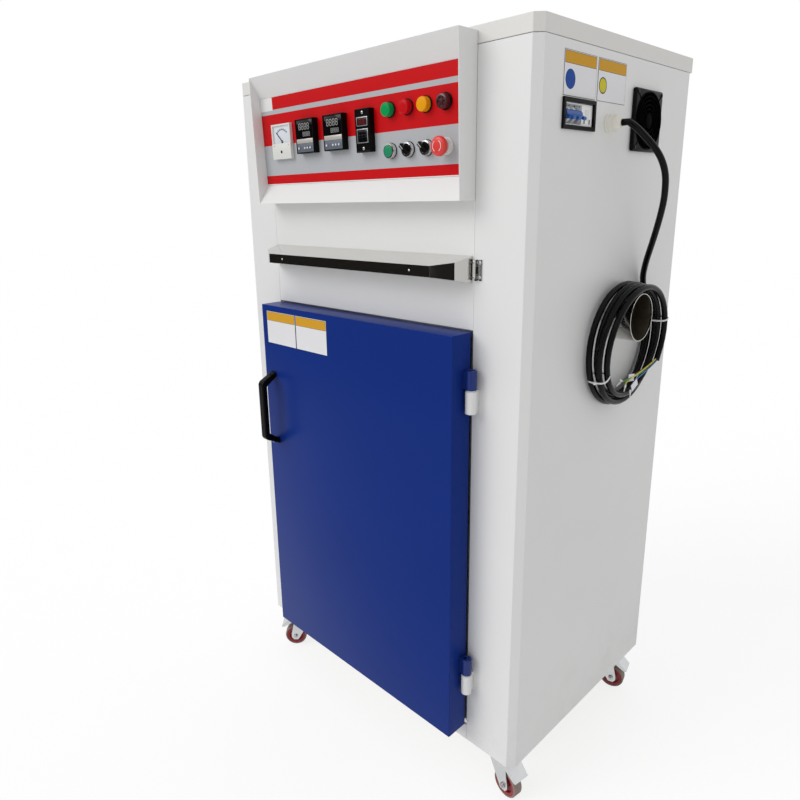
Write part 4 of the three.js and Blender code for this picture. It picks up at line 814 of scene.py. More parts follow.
def screw_head(radius: float, height: float) -> bpy.types.Object:
    """A pan head with a crossed recess, standing on local z = 0.

    Args:
        radius: radius of the head.
        height: height of the head.

    Returns:
        The piece.
    """
    shoulder = height * 0.35
    head = turned([(radius, 0), (radius, shoulder), *domed(radius, shoulder, height * 0.65, 4)], 24)
    arm = radius * 1.1
    wide = radius * 0.22
    slots = [
        block((-arm / 2, -wide / 2, height * 0.55), (arm / 2, wide / 2, height * 2)),
        block((-wide / 2, -arm / 2, height * 0.55), (wide / 2, arm / 2, height * 2)),
    ]
    return carved(head, [joined(slots)])


@dataclass
class SupplyCord(Assembly):
    """The black supply cord: out of the gland, down beside the fan and coiled on the pipe.

    Attributes:
        diameter: the cord's diameter.
        exit: where it leaves the gland, from the cabinet's middle, front and floor.
        route: the free run's points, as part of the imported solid.
        turns: turns in the coil.
        coil_y: the coil's middle behind the cabinet's front.
        first_radius: radius of its first turn.
        last_radius: radius of its last turn.
        top_pitch: how far apart the turns lie on top of the pipe.
        bottom_pitch: how far apart they lie below it.
        layer: half the height between the two layers below.
        layer_share: how soon the layers part.
        start_angle: angle of the coil's start, in degrees above the rear.
        pipe_gap: clearance between the pipe and the coil.
        strap: half the thickness of a tie's strap.
        strap_slack: gap between a strap's middle and the turns.
        strap_widening: how many times wider than thick a strap is.
        wire_forward: how far the first wire of the bare end reaches forward.
        wire_drop: how far it hangs below the cord's end.
        wire_step: how much farther forward, and less far down, each next wire reaches.
        tag_shift: how far the tags stand outside their wires.
    """

    diameter: float = 0.013
    exit: tuple[float, float, float] = (0.4783, 0.245, 1.507)
    route: tuple[tuple[float, float, float], ...] = (
        (0.504, 0.252, 1.496),
        (0.516, 0.267, 1.479),
        (0.526, 0.281, 1.463),
        (0.533, 0.295, 1.446),
        (0.537, 0.308, 1.427),
        (0.538, 0.318, 1.407),
        (0.536, 0.326, 1.386),
        (0.532, 0.334, 1.363),
        (0.525, 0.343, 1.340),
        (0.516, 0.353, 1.315),
        (0.506, 0.364, 1.291),
        (0.495, 0.376, 1.267),
        (0.483, 0.390, 1.243),
        (0.472, 0.405, 1.220),
        (0.4635, 0.420, 1.196),
    )
    turns: float = 4.1
    coil_y: float = 0.335
    first_radius: float = 0.127
    last_radius: float = 0.121
    top_pitch: float = 0.0144
    bottom_pitch: float = 0.008
    layer: float = 0.008
    layer_share: float = 0.6
    start_angle: float = 15
    pipe_gap: float = 0.001
    strap: float = 0.0011
    strap_slack: float = 0.001
    strap_widening: float = 1.9
    wire_forward: float = 0.138
    wire_drop: float = 0.022
    wire_step: float = 0.009
    tag_shift: float = 0.005

    def radius_at(self, turn: float) -> float:
        """Radius of the coil at a turn."""
        return self.first_radius + (self.last_radius - self.first_radius) * turn / self.turns

    def coil_z(self) -> float:
        """Height of the coil's middle, which its last turn's rest on the pipe sets."""
        reach = self.radius_at(self.turns) - PIPE_RADIUS - self.diameter / 2 - self.pipe_gap
        return PIPE_Z - math.sqrt(reach**2 - (self.coil_y - PIPE_Y) ** 2)

    def coil_point(self, turn: float) -> Vector:
        """A point of the coil's centreline.

        Args:
            turn: turns from the coil's start.

        Returns:
            The point, from the cabinet's middle, front and floor.
        """
        angle = math.radians(self.start_angle) - turn * math.tau
        below = (1 - math.sin(angle)) / 2
        first_top = (self.start_angle + 270) / 360
        side = 1 if math.ceil(turn - first_top) % 2 == 0 else -1
        radius = self.radius_at(turn) + side * self.layer * below**self.layer_share
        pitch = self.top_pitch + (self.bottom_pitch - self.top_pitch) * below
        first_x = SIDE_X + FIT + self.diameter / 2
        return Vector((
            first_x + pitch * turn,
            self.coil_y + radius * math.cos(angle),
            self.coil_z() + radius * math.sin(angle),
        ))

    def coil_points(self, per_turn: int = 40) -> list[Vector]:
        """The coil's centreline, with a straight diameter at each end."""
        count = round(self.turns * per_turn)
        points = [self.coil_point(i / count * self.turns) for i in range(count + 1)]
        start = (points[0] - points[1]).normalized() * self.diameter
        end = (points[-1] - points[-2]).normalized() * self.diameter
        return [points[0] + start, *points, points[-1] + end]

    def run_points(self, coil: Sequence[Vector], per_span: int = 3) -> list[Vector]:
        """The free run's centreline from the gland to the coil.

        Args:
            coil: the coil's points.
            per_span: points between two of the route's points.

        Returns:
            The points, on one smooth curve.
        """
        start = Vector(self.exit)
        back = (coil[0] - coil[1]).normalized()
        nodes = [
            start + Vector((self.diameter, 0, 0)),
            *[Vector(point) for point in self.route],
            coil[0] + back * (self.diameter + FIT),
        ]
        points = [start]
        for i in range(len(nodes) - 1):
            before = nodes[i - 1] if i > 0 else nodes[0] * 2 - nodes[1]
            after = nodes[i + 2] if i + 2 < len(nodes) else nodes[-1] * 2 - nodes[-2]
            for step in range(per_span):
                points.append(smooth_between(before, nodes[i], nodes[i + 1], after, step / per_span))
        return [*points, nodes[-1]]

    def build(self) -> None:
        """Draws the cord as one curve, then its ties and the wires of its bare end."""
        coil = self.coil_points()
        line = [cabinet(*point) for point in [*self.run_points(coil), *coil]]
        cord = curve_through("supply_cord", line, self.diameter / 2, 5, True)
        cord.data.materials.append(finish_of("cord_rubber"))
        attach(cord, self.body)
        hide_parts("cord_run", "cord_coil")
        self.made.append(cord)
        whole_turns = 2.0
        for label, angle in (("front", -152), ("rear", 18)):
            self.tie(f"cord_tie_{label}", whole_turns + (self.start_angle - angle) / 360)
        self.bare_end(coil)

    def tie(self, name: str, turn: float) -> None:
        """A cable tie drawn round the turns at one place of the coil.

        Args:
            name: the tie's name.
            turn: the place, in turns from the coil's start.
        """
        whole = math.floor(turn)
        share = turn - whole
        places = [self.coil_point(k + share) for k in range(math.floor(self.turns - share) + 1)]
        middle = sum(places, Vector()) / len(places)
        hub = Vector((middle.x, self.coil_y, self.coil_z()))
        outward = (middle - hub).normalized()
        sideways = Vector((1, 0, 0))
        reach_out = max(abs((spot - middle).dot(outward)) for spot in places) + self.diameter / 2
        reach_side = max(abs((spot - middle).dot(sideways)) for spot in places) + self.diameter / 2
        ring = []
        steps = 40
        for i in range(steps + 1):
            angle = i / steps * math.tau
            cosine, sine = math.cos(angle), math.sin(angle)
            squeeze = (abs(cosine) ** 3 + abs(sine) ** 3) ** (-1 / 3)
            spot = middle + outward * (reach_out + self.strap_slack) * cosine * squeeze
            spot += sideways * (reach_side + self.strap_slack) * sine * squeeze
            ring.append(cabinet(*spot))
        strap = tube(ring, self.strap, 2)
        along = (self.coil_point(turn + 0.01) - self.coil_point(turn - 0.01)).normalized()
        centre = cabinet(*middle)
        widen = Matrix.Scale(self.strap_widening, 4, along)
        place(strap, Matrix.Translation(centre) @ widen @ Matrix.Translation(-centre))
        knot = block(*span((0, 0, 0), (0.005, 0.006, 0.006)), 0.0008)
        place(knot, Matrix.Translation(cabinet(*(middle + outward * (reach_out + 0.002)))))
        self.keep(joined([strap, knot]), name, "tie_nylon", "white_plastic")

    def bare_end(self, coil: Sequence[Vector]) -> None:
        """The stripped end of the coil: four wires with ferrules, and two blank tags."""
        end = coil[-1]
        ahead = (coil[-1] - coil[-2]).normalized()
        colours = ("wire_blue", "wire_yellow", "wire_brown", "wire_green")
        steps = 18
        for i, colour in enumerate(colours):
            angle = math.tau * i / len(colours)
            off = Vector((math.cos(angle), 0.3 * math.sin(angle), math.sin(angle)))
            off = off * self.diameter * 0.22
            forward = -self.wire_forward - self.wire_step * i
            drop = -self.wire_drop + self.wire_step * i
            points = []
            for step in range(steps + 1):
                share = step / steps
                run = ahead * (0.020 * (1 - (1 - share) ** 5) - 0.004)
                spread = Vector((
                    (0.004 + 0.005 * math.cos(angle)) * share,
                    forward * (1 - (1 - share) ** 1.7),
                    drop * share**2.2,
                ))
                points.append(cabinet(*(end + off + run + spread)))
            wire = tube(points, 0.0014, 2)
            self.keep(wire, f"cord_{colour}", colour, "cord_rubber")
            tip = turned([(0.0022, 0), (0.0022, 0.006), (0.0013, 0.008), (0.0010, 0.016)], 16)
            place(tip, aimed(points[-1], points[-1] - points[-2]))
            self.keep(tip, f"cord_ferrule_{i + 1}", "tie_nylon", "white_plastic")
            if i in (0, 2):
                tag = block(*span((0, 0, 0), (0.0008, 0.027, 0.016)), 0.0002, 1)
                lean = Matrix.Rotation(math.radians(24 - 16 * i), 4, "X")
                clear_of_wires = Vector((self.tag_shift, 0.0, 0.0))
                place(tag, Matrix.Translation(points[-5 - 2 * i] + clear_of_wires) @ lean)
                self.keep(tag, f"cord_tag_{i // 2 + 1}", "sticker_white", "white_plastic")


def smooth_between(a: Vector, b: Vector, c: Vector, d: Vector, share: float) -> Vector:
    """A point between b and c on the smooth curve through a, b, c and d.

    Args:
        a: the point before b.
        b: the start.
        c: the end.
        d: the point after c.
        share: 0 at b, 1 at c.

    Returns:
        The point, with knots spaced by the square roots of the distances.
    """
    knots = [0.0]
    for first, second in ((a, b), (b, c), (c, d)):
        knots.append(knots[-1] + max((second - first).length, 1e-9) ** 0.5)
    t = knots[1] + (knots[2] - knots[1]) * share

    def between(p: Vector, q: Vector, low: float, high: float) -> Vector:
        """The point at knot t on the line from p at low to q at high."""
        return p * ((high - t) / (high - low)) + q * ((t - low) / (high - low))

    ab = between(a, b, knots[0], knots[1])
    bc = between(b, c, knots[1], knots[2])
    cd = between(c, d, knots[2], knots[3])
    abc = between(ab, bc, knots[0], knots[2])
    bcd = between(bc, cd, knots[1], knots[3])
    return between(abc, bcd, knots[1], knots[2])


@dataclass
class Body(Assembly):
    """The folded white shell with its screws and blank stickers, and what is inside it.

    Attributes:
        rear_screw_rows: screws down each edge of the rear panel.
        rear_screw_inset: distance of those screws from the panel's edge.
        cap_screws: screws under the cap's rear lip.
        sticker_z: height of the side stickers' middle.
    """

    rear_screw_rows: int = 5
    rear_screw_inset: float = 0.010
    cap_screws: int = 3
    sticker_z: float = 1.5815

    def build(self) -> None:
        """Dresses the sheet metal and the chamber, and adds the small pieces."""
        shell = ("base_frame", "left_side_panel", "right_side_panel", "rear_panel", "upper_front_panel")
        self.dress("white_powder_coat", *shell, fold=0.0012)
        self.dress("cap_powder_coat", "top_cap", fold=0.0012)
        self.dress("brushed_stainless", "inner_liner", "air_baffle")
        for index in (1, 2, 3):
            self.dress("brushed_stainless", f"shelf_tray_{index}", fold=0.0006)
        self.dress("mineral_wool", "insulation")
        self.dress("silicone_seal", "door_gasket", fold=0.0008)
        self.dress("galvanised_sheet", "blower_wheel")
        self.dress("motor_enamel", "blower_motor")
        self.dress("heater_sheath", "heater_element")
        self.screws()
        for label, y, width, disc, radius in (
            ("front", 0.1315, 0.109, "print_blue", 0.0165),
            ("rear", 0.2475, 0.107, "print_lemon", 0.0145),
        ):
            where = on_side(y, self.sticker_z, FIT)
            self.sticker(f"side_sticker_{label}", where, (width, 0.073), disc, radius)

    def screws(self) -> None:
        """Pan heads along the rear panel's edges and under the cap's rear lip."""
        head = screw_head(0.0042, 0.0022)
        low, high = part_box("rear_panel")
        turn = Matrix.Rotation(-math.pi / 2, 4, "X")
        flange_x = (low.x + self.rear_screw_inset, high.x - self.rear_screw_inset)
        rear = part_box("right_side_panel")[1].y
        count = 0
        for x in flange_x:
            for row in range(self.rear_screw_rows):
                z = low.z + 0.06 + (high.z - low.z - 0.16) * row / (self.rear_screw_rows - 1)
                twin = copied(head, Matrix.Translation((x, rear + FIT, z)) @ turn)
                count += 1
                self.keep(twin, f"rear_screw_{count}", "screw_zinc", "zinc")
        cap_low, cap_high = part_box("top_cap")
        for i in range(self.cap_screws):
            x = cap_low.x + (cap_high.x - cap_low.x) * (i + 0.5) / self.cap_screws
            twin = copied(head, Matrix.Translation((x, cap_high.y + FIT, cap_low.z + 0.016)) @ turn)
            self.keep(twin, f"cap_screw_{i + 1}", "screw_zinc", "zinc")
        bpy.data.objects.remove(head)


@dataclass
class Door(Assembly):
    """The blue door with its lift-off hinges and handle.

    Attributes:
        half_width: half the door's width.
        low: height of its lower edge.
        high: height of its upper edge.
        face: how far its face stands before the cabinet's front.
        back: how far its back edge stands before it.
        wall: thickness of its sheet.
        rim: width of the return round its back.
        hinge_x: the hinges' axis beside the cabinet's middle.
        hinge_y: the hinges' axis before the front.
        heights: height of the joint of each hinge.
        knuckle_radius: radius of the hinges' knuckles.
        knuckle_length: length of the knuckle on the door.
        frame_knuckle_length: length of the knuckle on the post.
        sticker_z: height of the stickers' middle.
    """

    body: str = "door"
    half_width: float = 0.320
    low: float = 0.190
    high: float = 1.119
    face: float = 0.061
    back: float = 0.0045
    wall: float = 0.002
    rim: float = 0.020
    hinge_x: float = 0.335
    hinge_y: float = 0.020
    heights: tuple[float, float] = (1.006, 0.345)
    knuckle_radius: float = 0.0115
    knuckle_length: float = 0.040
    frame_knuckle_length: float = 0.047
    sticker_z: float = 1.063

    def build(self) -> None:
        """Builds the shell, its hinges, its handle and its blank stickers."""
        self.shell()
        for label, height in zip(("upper", "lower"), self.heights):
            self.hinge(label, height)
        self.dress("brushed_stainless", "door_inner_panel", fold=0.0008)
        self.dress("black_moulding", "door_handle", fold=0.0028)
        self.handle_feet()
        for label, x, width in (("left", -0.240, 0.118), ("right", -0.119, 0.117)):
            where = on_front(x, self.sticker_z, self.face + FIT)
            self.sticker(f"door_sticker_{label}", where, (width, 0.082))

    def shell(self) -> None:
        """A folded box, open at the back inside its return."""
        low = cabinet(-self.half_width, -self.face, self.low)
        high = cabinet(self.half_width, -self.back, self.high)
        shell = block(low, high)

        def at_back(normal: Vector, centre: Vector) -> bool:
            """True for the face that looks into the cabinet."""
            return normal.y > 0.9 and centre.y > high.y - 0.0001

        depth = high.y - low.y
        sunk(shell, at_back, self.rim, (0, -self.wall, 0))

        def at_throat(normal: Vector, centre: Vector) -> bool:
            """True for the face at the foot of the return."""
            return normal.y > 0.9 and abs(centre.y - high.y + self.wall) < 0.0001

        pick_faces(shell, at_throat)
        bpy.ops.mesh.inset(thickness=self.wall - self.rim, use_even_offset=True, use_outset=False)
        bpy.ops.mesh.extrude_region_move(
            TRANSFORM_OT_translate={"value": (0, -(depth - self.wall * 2), 0)}
        )
        bpy.ops.object.mode_set(mode="OBJECT")
        bevelled(shell, 0.0016, 3)
        self.keep(shell, "door_skin", "blue_gloss_coat", "blue_paint", ["door_shell"])

    def hinge(self, label: str, height: float) -> None:
        """One lift-off hinge: a blue knuckle on the door above a white one on the post.

        Args:
            label: upper or lower.
            height: height of the joint between the knuckles.
        """
        radius, soft = self.knuckle_radius, 0.0012
        axis = cabinet(self.hinge_x, -self.hinge_y, 0)
        foot = height + 0.0013
        top = foot + self.knuckle_length
        barrel = turned([
            (radius - soft, foot), (radius, foot + soft), (radius, top - soft), (radius - soft, top),
            (radius * 0.55, top + 0.0004), (radius * 0.5, top - 0.001),
        ])
        place(barrel, Matrix.Translation(axis))
        strap = block(
            cabinet(self.half_width - 0.004, -self.hinge_y - 0.0085, foot + 0.001),
            cabinet(self.hinge_x, -self.hinge_y + 0.0035, top - 0.001), 0.0015,
        )
        self.keep(joined([barrel, strap]), f"door_knuckle_{label}", "blue_barrel_coat", "blue_paint")
        low = height - 0.001 - self.frame_knuckle_length
        high = height - 0.001
        post = turned([
            (radius - soft, low), (radius, low + soft), (radius, high - soft), (radius - soft, high),
            (radius * 0.8, high + 0.0002), (radius * 0.8, high + 0.0018), (radius * 0.42, high + 0.0019),
            (radius * 0.42, high + 0.034), (radius * 0.2, high + 0.036),
        ])
        place(post, Matrix.Translation(axis))
        weld = block(
            cabinet(self.hinge_x - 0.0045, -self.hinge_y, low + 0.001),
            cabinet(self.hinge_x + 0.0045, -FIT, high - 0.001), 0.001,
        )
        self.keep(
            joined([post, weld]), f"post_knuckle_{label}", "white_powder_coat", "white_paint",
            [f"frame_knuckle_{label}"], body="cabinet",
        )

    def handle_feet(self) -> None:
        """The two screw covers on the handle's feet."""
        low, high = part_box("door_handle")
        for label, z in (("lower", low.z + 0.010), ("upper", high.z - 0.010)):
            cap = turned([(0.0052, 0), (0.0052, 0.0008), (0.0044, 0.0016), (0.002, 0.0018)], 24)
            lean = math.radians(40) * (-1 if label == "upper" else 1)
            where = Matrix.Translation(((low.x + high.x) / 2, high.y - 0.012, z))
            outward = Matrix.Rotation(math.pi / 2 + lean, 4, "X")
            place(cap, where @ outward @ Matrix.Translation((0, 0, 0.004)))
            self.keep(cap, f"handle_cover_{label}", "black_gloss", "black_plastic")


@dataclass
class ControlBox(Assembly):
    """The leaning plate with its film, and the instruments on it.

    Attributes:
        meter: the ammeter's middle across and up the plate, and half its width and height.
        meter_proud: how far its case stands before the plate.
        controller_rise: the controllers' middle, up the plate.
        controller_half: half the width of what lies in their bezels.
        controller_proud: how far they stand before the plate.
        timer_x: the timer's middle across the plate.
        timer_rise: its middle, up the plate.
        timer_proud: how far it stands before the plate.
        wheel_pitch: distance between two of its thumbwheels.
        lamp_pitch: distance between two lamps, and between two buttons.
        first_lamp: the first lamp's middle across the plate.
        lamp_rise: the lamps' middle, up the plate.
        button_rise: the buttons' middle, up the plate.
    """

    meter: tuple[float, float, float, float] = (-0.237, -0.002, 0.0365, 0.0395)
    meter_proud: float = 0.008
    controller_rise: float = 0.003
    controller_half: float = 0.0292
    controller_proud: float = 0.016
    timer_x: float = 0.0560
    timer_rise: float = -0.0010
    timer_proud: float = 0.015
    wheel_pitch: float = 0.0095
    lamp_pitch: float = 0.0486
    first_lamp: float = 0.124
    lamp_rise: float = 0.0325
    button_rise: float = -0.045

    def build(self) -> None:
        """Dresses the box and builds each instrument."""
        self.dress("white_powder_coat", "control_box", fold=0.0009)
        self.dress("label_film", "control_fascia")
        self.ammeter()
        for name, x in (("temperature_controller", -0.137), ("limit_controller", -0.038)):
            self.controller(name, x)
        self.timer()
        lamps = ("pilot_lamp_green", "pilot_lamp_red", "pilot_lamp_yellow")
        for i, name in enumerate(lamps):
            colour = name.replace("pilot_", "")
            self.lamp(name, self.first_lamp + i * self.lamp_pitch, colour)
        self.buzzer()
        self.start_button()
        self.selector("left", self.first_lamp + self.lamp_pitch)
        self.selector("right", self.first_lamp + self.lamp_pitch * 2)
        self.emergency_stop()

    def bar(self, low: Point, high: Point, bevel: float = 0.0003) -> bpy.types.Object:
        """A bevelled bar given by two corners in the label plate's own frame."""
        return place(block(low, high, bevel, 2), PLATE)

    def ammeter(self) -> None:
        """White case, dial with a scale of ticks, lower cover and zero screw."""
        self.dress("white_moulding", "ammeter", fold=0.0012)
        self.dress("black_gloss", "ammeter_needle")
        x, rise, half, high = self.meter
        face = self.meter_proud + FIT
        floor = face - 0.004
        top = high - 0.004
        dial = self.bar(
            (x - half + 0.0040, -floor - 0.0003, rise - 0.0038),
            (x + half - 0.0040, -floor, rise + top - 0.0002), 0.0001,
        )
        self.keep(dial, "ammeter_dial", "dial_white", "white_plastic")
        ticks = []
        count = 31
        for i in range(count):
            angle = math.radians(-45 + 90 * i / (count - 1))
            long = i % 5 == 0
            wide = 0.00032 if long else 0.0002
            tick = block((-wide, 0, 0.0262), (wide, 0.0002, 0.0312 if long else 0.0288))
            place(tick, Matrix.Rotation(angle, 4, "Y"))
            ticks.append(place(tick, Matrix.Translation((x, -floor - 0.0006, rise))))
        arc = []
        for i in range(33):
            angle = math.radians(-45 + 90 * i / 32)
            arc.append((x + 0.026 * math.sin(angle), -floor - 0.0005, rise + 0.026 * math.cos(angle)))
        ticks.append(tube(arc, 0.0002, 1))
        self.keep(place(joined(ticks), PLATE), "ammeter_scale", "dial_print", "black_plastic")
        cover = self.bar(
            (x - half, -face - 0.0012, rise - high), (x + half, -face + 0.0001, rise - 0.0040), 0.0008,
        )
        self.keep(cover, "ammeter_cover", "white_moulding", "white_plastic")
        zero = place(screw_head(0.0032, 0.0016), on_plate(x, rise - 0.023, face + 0.0011))
        self.keep(zero, "ammeter_zero_screw", "black_gloss", "black_plastic")
        for label, side in (("left", -1), ("right", 1)):
            where = on_plate(x + side * 0.029, rise - 0.0085, face + 0.0011)
            mark = place(screw_head(0.0016, 0.0008), where)
            self.keep(mark, f"ammeter_cover_screw_{label}", "screw_zinc", "zinc")

    def digits(self, x: float, rise: float, height: float, count: int, proud: float) -> bpy.types.Object:
        """A row of seven-stroke figures, all strokes shown, as an unlit display has them.

        Args:
            x: middle of the row.
            rise: middle of the row, up the plate.
            height: height of a figure.
            count: figures in the row.
            proud: how far the row stands before the plate.

        Returns:
            One piece in the label plate's frame.
        """
        width, stroke = height * 0.50, height * 0.085
        level, upright = width - stroke * 1.3, height / 2 - stroke * 1.3
        strokes = []
        for index in range(count):
            centre = x + (index - (count - 1) / 2) * height * 0.80
            for dx, dz, lying in (
                (0, 0.5, True), (0, 0, True), (0, -0.5, True),
                (-0.5, 0.25, False), (0.5, 0.25, False), (-0.5, -0.25, False), (0.5, -0.25, False),
            ):
                size = (level, 0.0002, stroke) if lying else (stroke, 0.0002, upright)
                spot = (centre + dx * width, -proud, rise + dz * height)
                strokes.append(block(*span(spot, size)))
        return place(joined(strokes), PLATE)

    def controller(self, name: str, x: float) -> None:
        """A process controller: black bezel, dark window with figures, satin strip and keys.

        Args:
            name: the CAD node's name.
            x: its middle across the plate.
        """
        self.dress("black_moulding", name, fold=0.0014)
        rise, half = self.controller_rise, self.controller_half
        floor = self.controller_proud + FIT - 0.002
        for label, low, high, thick, bevel, finish, slot in (
            ("window", -0.0055, 0.0340, 0.0008, 0.0003, "display_glass", "black_plastic"),
            ("strip", -0.0152, -0.0058, 0.0018, 0.0006, "satin_strip", "galvanised"),
            ("keypad", -0.0342, -0.0155, 0.0013, 0.0005, "grey_moulding", "black_plastic"),
        ):
            inlay = self.bar((x - half, -floor - thick, rise + low), (x + half, -floor, rise + high), bevel)
            self.keep(inlay, f"{name}_{label}", finish, slot)
        proud = floor + 0.0009
        value = self.digits(x - 0.001, rise + 0.0205, 0.0125, 4, proud)
        self.keep(value, f"{name}_value", "digit_white", "white_plastic")
        lower = self.digits(x + 0.0065, rise + 0.0042, 0.0085, 4, proud)
        self.keep(lower, f"{name}_setting", "digit_white", "white_plastic")
        for i, centre in enumerate((x - 0.0225, x - 0.0010, x + 0.0085, x + 0.0185)):
            for label, wide, depths, low, high, bevel, finish, slot in (
                ("key", 0.0041, (0.0022, 0.0010), 0.0300, 0.0205, 0.0006, "grey_moulding", "black_plastic"),
                ("mark", 0.0021, (0.0025, 0.0021), 0.0272, 0.0236, 0.0001, "sticker_white", "white_plastic"),
            ):
                piece = self.bar(
                    (centre - wide, -floor - depths[0], rise - low),
                    (centre + wide, -floor - depths[1], rise - high), bevel,
                )
                self.keep(piece, f"{name}_{label}_{i + 1}", finish, slot)

    def timer(self) -> None:
        """The cycle timer: red display, thumbwheels in a light frame, and two screws."""
        name, x, rise, pitch = "cycle_timer", self.timer_x, self.timer_rise, self.wheel_pitch
        self.dress("black_moulding", name, fold=0.0016)
        sunk_face = self.timer_proud + FIT - 0.002

        def outward(normal: Vector, centre: Vector) -> bool:
            """True for the face that looks out of the plate."""
            return normal.y < -0.99

        for label, low, high in (("display", 0.0085, 0.0265), ("wheels", -0.0245, 0.0035)):
            outer = self.bar(
                (x - 0.0165, -sunk_face - 0.0026, rise + low),
                (x + 0.0165, -sunk_face, rise + high), 0.0005,
            )
            sunk(outer, outward, 0.0014, (0, 0.0012, 0))
            self.keep(outer, f"timer_{label}_frame", "galvanised_sheet", "galvanised")
            pane = self.bar(
                (x - 0.0148, -sunk_face - 0.0017, rise + low + 0.0017),
                (x + 0.0148, -sunk_face - 0.0012, rise + high - 0.0017), 0.0001,
            )
            self.keep(pane, f"timer_{label}_pane", "display_glass", "black_plastic")
        figures = self.digits(x, rise + 0.0175, 0.0095, 3, sunk_face + 0.0018)
        self.keep(figures, "timer_display_figures", "digit_red", "lamp_red")
        for i in range(3):
            wheel = turned([
                (0.0050, -0.0036), (0.0056, -0.0030), (0.0056, 0.0030), (0.0050, 0.0036),
            ], 20)
            spot = (x - pitch + i * pitch, -sunk_face + 0.0024, rise - 0.0105)
            place(wheel, PLATE @ Matrix.Translation(spot) @ Facing.RIGHT.value)
            self.keep(wheel, f"timer_wheel_{i + 1}", "black_moulding", "black_plastic")
        for label, offset in (("top", 0.0350), ("bottom", -0.0350)):
            head = place(screw_head(0.0034, 0.0020), on_plate(x, rise + offset, sunk_face))
            self.keep(head, f"timer_screw_{label}", "screw_zinc", "zinc")

    def bezel(self, name: str, x: float, rise: float, radius: float, height: float, inner: float) -> None:
        """A ring that holds a lamp or a switch on the plate.

        Args:
            name: the ring's name.
            x: its middle across the plate.
            rise: its middle up the plate.
            radius: outer radius.
            height: height above the plate.
            inner: radius of its bore.
        """
        ring = turned([
            (inner, FIT), (radius, FIT), (radius, height * 0.6), (radius - 0.0012, height),
            (inner + 0.0008, height), (inner, height - 0.0010), (inner, FIT),
        ], 48, closed=True)
        place(ring, on_plate(x, rise))
        self.keep(ring, name, "black_gloss", "black_plastic")

    def lamp(self, name: str, x: float, colour: str) -> None:
        """A pilot lamp: a coloured lens with a stepped rim in a black ring.

        Args:
            name: the CAD node that it replaces.
            x: its middle across the plate.
            colour: finish of the lens.
        """
        self.bezel(f"{name}_ring", x, self.lamp_rise, 0.0153, 0.0034, 0.0137)
        lens = turned([
            (0.0108, -0.018), (0.0108, 0.0004), (0.0134, 0.0006), (0.0134, 0.0128), (0.0128, 0.0146),
            (0.0116, 0.0152), (0.0110, 0.0149), *domed(0.0108, 0.0149, 0.0007, 4),
        ])
        place(lens, on_plate(x, self.lamp_rise))
        self.keep(lens, f"{name}_lens", colour, colour, [name])

    def buzzer(self) -> None:
        """The alarm buzzer: a dark red head with sound slots in a black ring."""
        x = self.first_lamp + self.lamp_pitch * 3
        self.bezel("alarm_buzzer_ring", x, self.lamp_rise, 0.0155, 0.0040, 0.0138)
        head = turned([
            (0.0108, -0.018), (0.0108, 0.0004), (0.0134, 0.0006), (0.0134, 0.0124), (0.0124, 0.0145),
            (0.0094, 0.0150), (0.0088, 0.0136), (0.0044, 0.0136), (0.0040, 0.0150), (0.0010, 0.0152),
        ])
        slots = []
        for i in range(6):
            slot = block((0.0046, -0.0009, 0.0110), (0.0086, 0.0009, 0.0180))
            slots.append(place(slot, Matrix.Rotation(i / 6 * math.tau, 4, "Z")))
        carved(head, [joined(slots)])
        place(head, on_plate(x, self.lamp_rise))
        self.keep(head, "alarm_buzzer_head", "buzzer_red", "buzzer_red", ["alarm_buzzer"])

    def start_button(self) -> None:
        """A flush green button in a chrome ring with a black skirt."""
        x = self.first_lamp
        self.bezel("start_button_skirt", x, self.button_rise, 0.0152, 0.0030, 0.0122)
        ring = turned([
            (0.0122, 0.0020), (0.0146, 0.0020), (0.0146, 0.0085), (0.0138, 0.0102), (0.0126, 0.0104),
            (0.0122, 0.0100), (0.0122, 0.0020),
        ], 48, closed=True)
        place(ring, on_plate(x, self.button_rise))
        self.keep(ring, "start_button_ring", "chrome_bezel", "galvanised")
        cap = turned([
            (0.0104, -0.0055), (0.0104, 0.0044), (0.0119, 0.0046), (0.0119, 0.0110), (0.0112, 0.0120),
            (0.0102, 0.0122), (0.0098, 0.0118), *domed(0.0096, 0.0118, 0.0006, 3),
        ])
        place(cap, on_plate(x, self.button_rise))
        self.keep(cap, "start_button_cap", "button_green", "button_green", ["start_button"], body="start")

    def selector(self, side: str, x: float) -> None:
        """A rotary selector: chrome ring, black knob with a grip and a white pointer line.

        Args:
            side: left or right.
            x: its middle across the plate.
        """
        self.bezel(f"selector_{side}_skirt", x, self.button_rise, 0.0152, 0.0030, 0.0122)
        ring = turned([
            (0.0106, 0.0020), (0.0145, 0.0020), (0.0145, 0.0064), (0.0136, 0.0090), (0.0112, 0.0094),
            (0.0106, 0.0088), (0.0106, 0.0020),
        ], 48, closed=True)
        place(ring, on_plate(x, self.button_rise))
        self.keep(ring, f"selector_{side}_ring", "chrome_bezel", "galvanised")
        base = turned([
            (0.0078, -0.020), (0.0078, 0.0004), (0.0102, 0.0006), (0.0102, 0.0096), (0.0096, 0.0104),
            (0.0060, 0.0106),
        ])
        grip = block((-0.0040, -0.0106, 0.0080), (0.0040, 0.0140, 0.0185), 0.0014, 3)
        knob = joined([base, grip])
        turn = Matrix.Rotation(math.radians(45), 4, "Z")
        place(knob, on_plate(x, self.button_rise) @ turn)
        self.keep(
            knob, f"selector_{side}_knob", "black_moulding", "black_plastic",
            [f"selector_knob_{side}"], body=f"selector_{side}",
        )
        line = block((-0.0009, 0.0010, 0.0183), (0.0009, 0.0134, 0.0188), 0.0002, 1)
        place(line, on_plate(x, self.button_rise) @ turn)
        self.keep(line, f"selector_{side}_pointer", "digit_white", "white_plastic", body=f"selector_{side}")

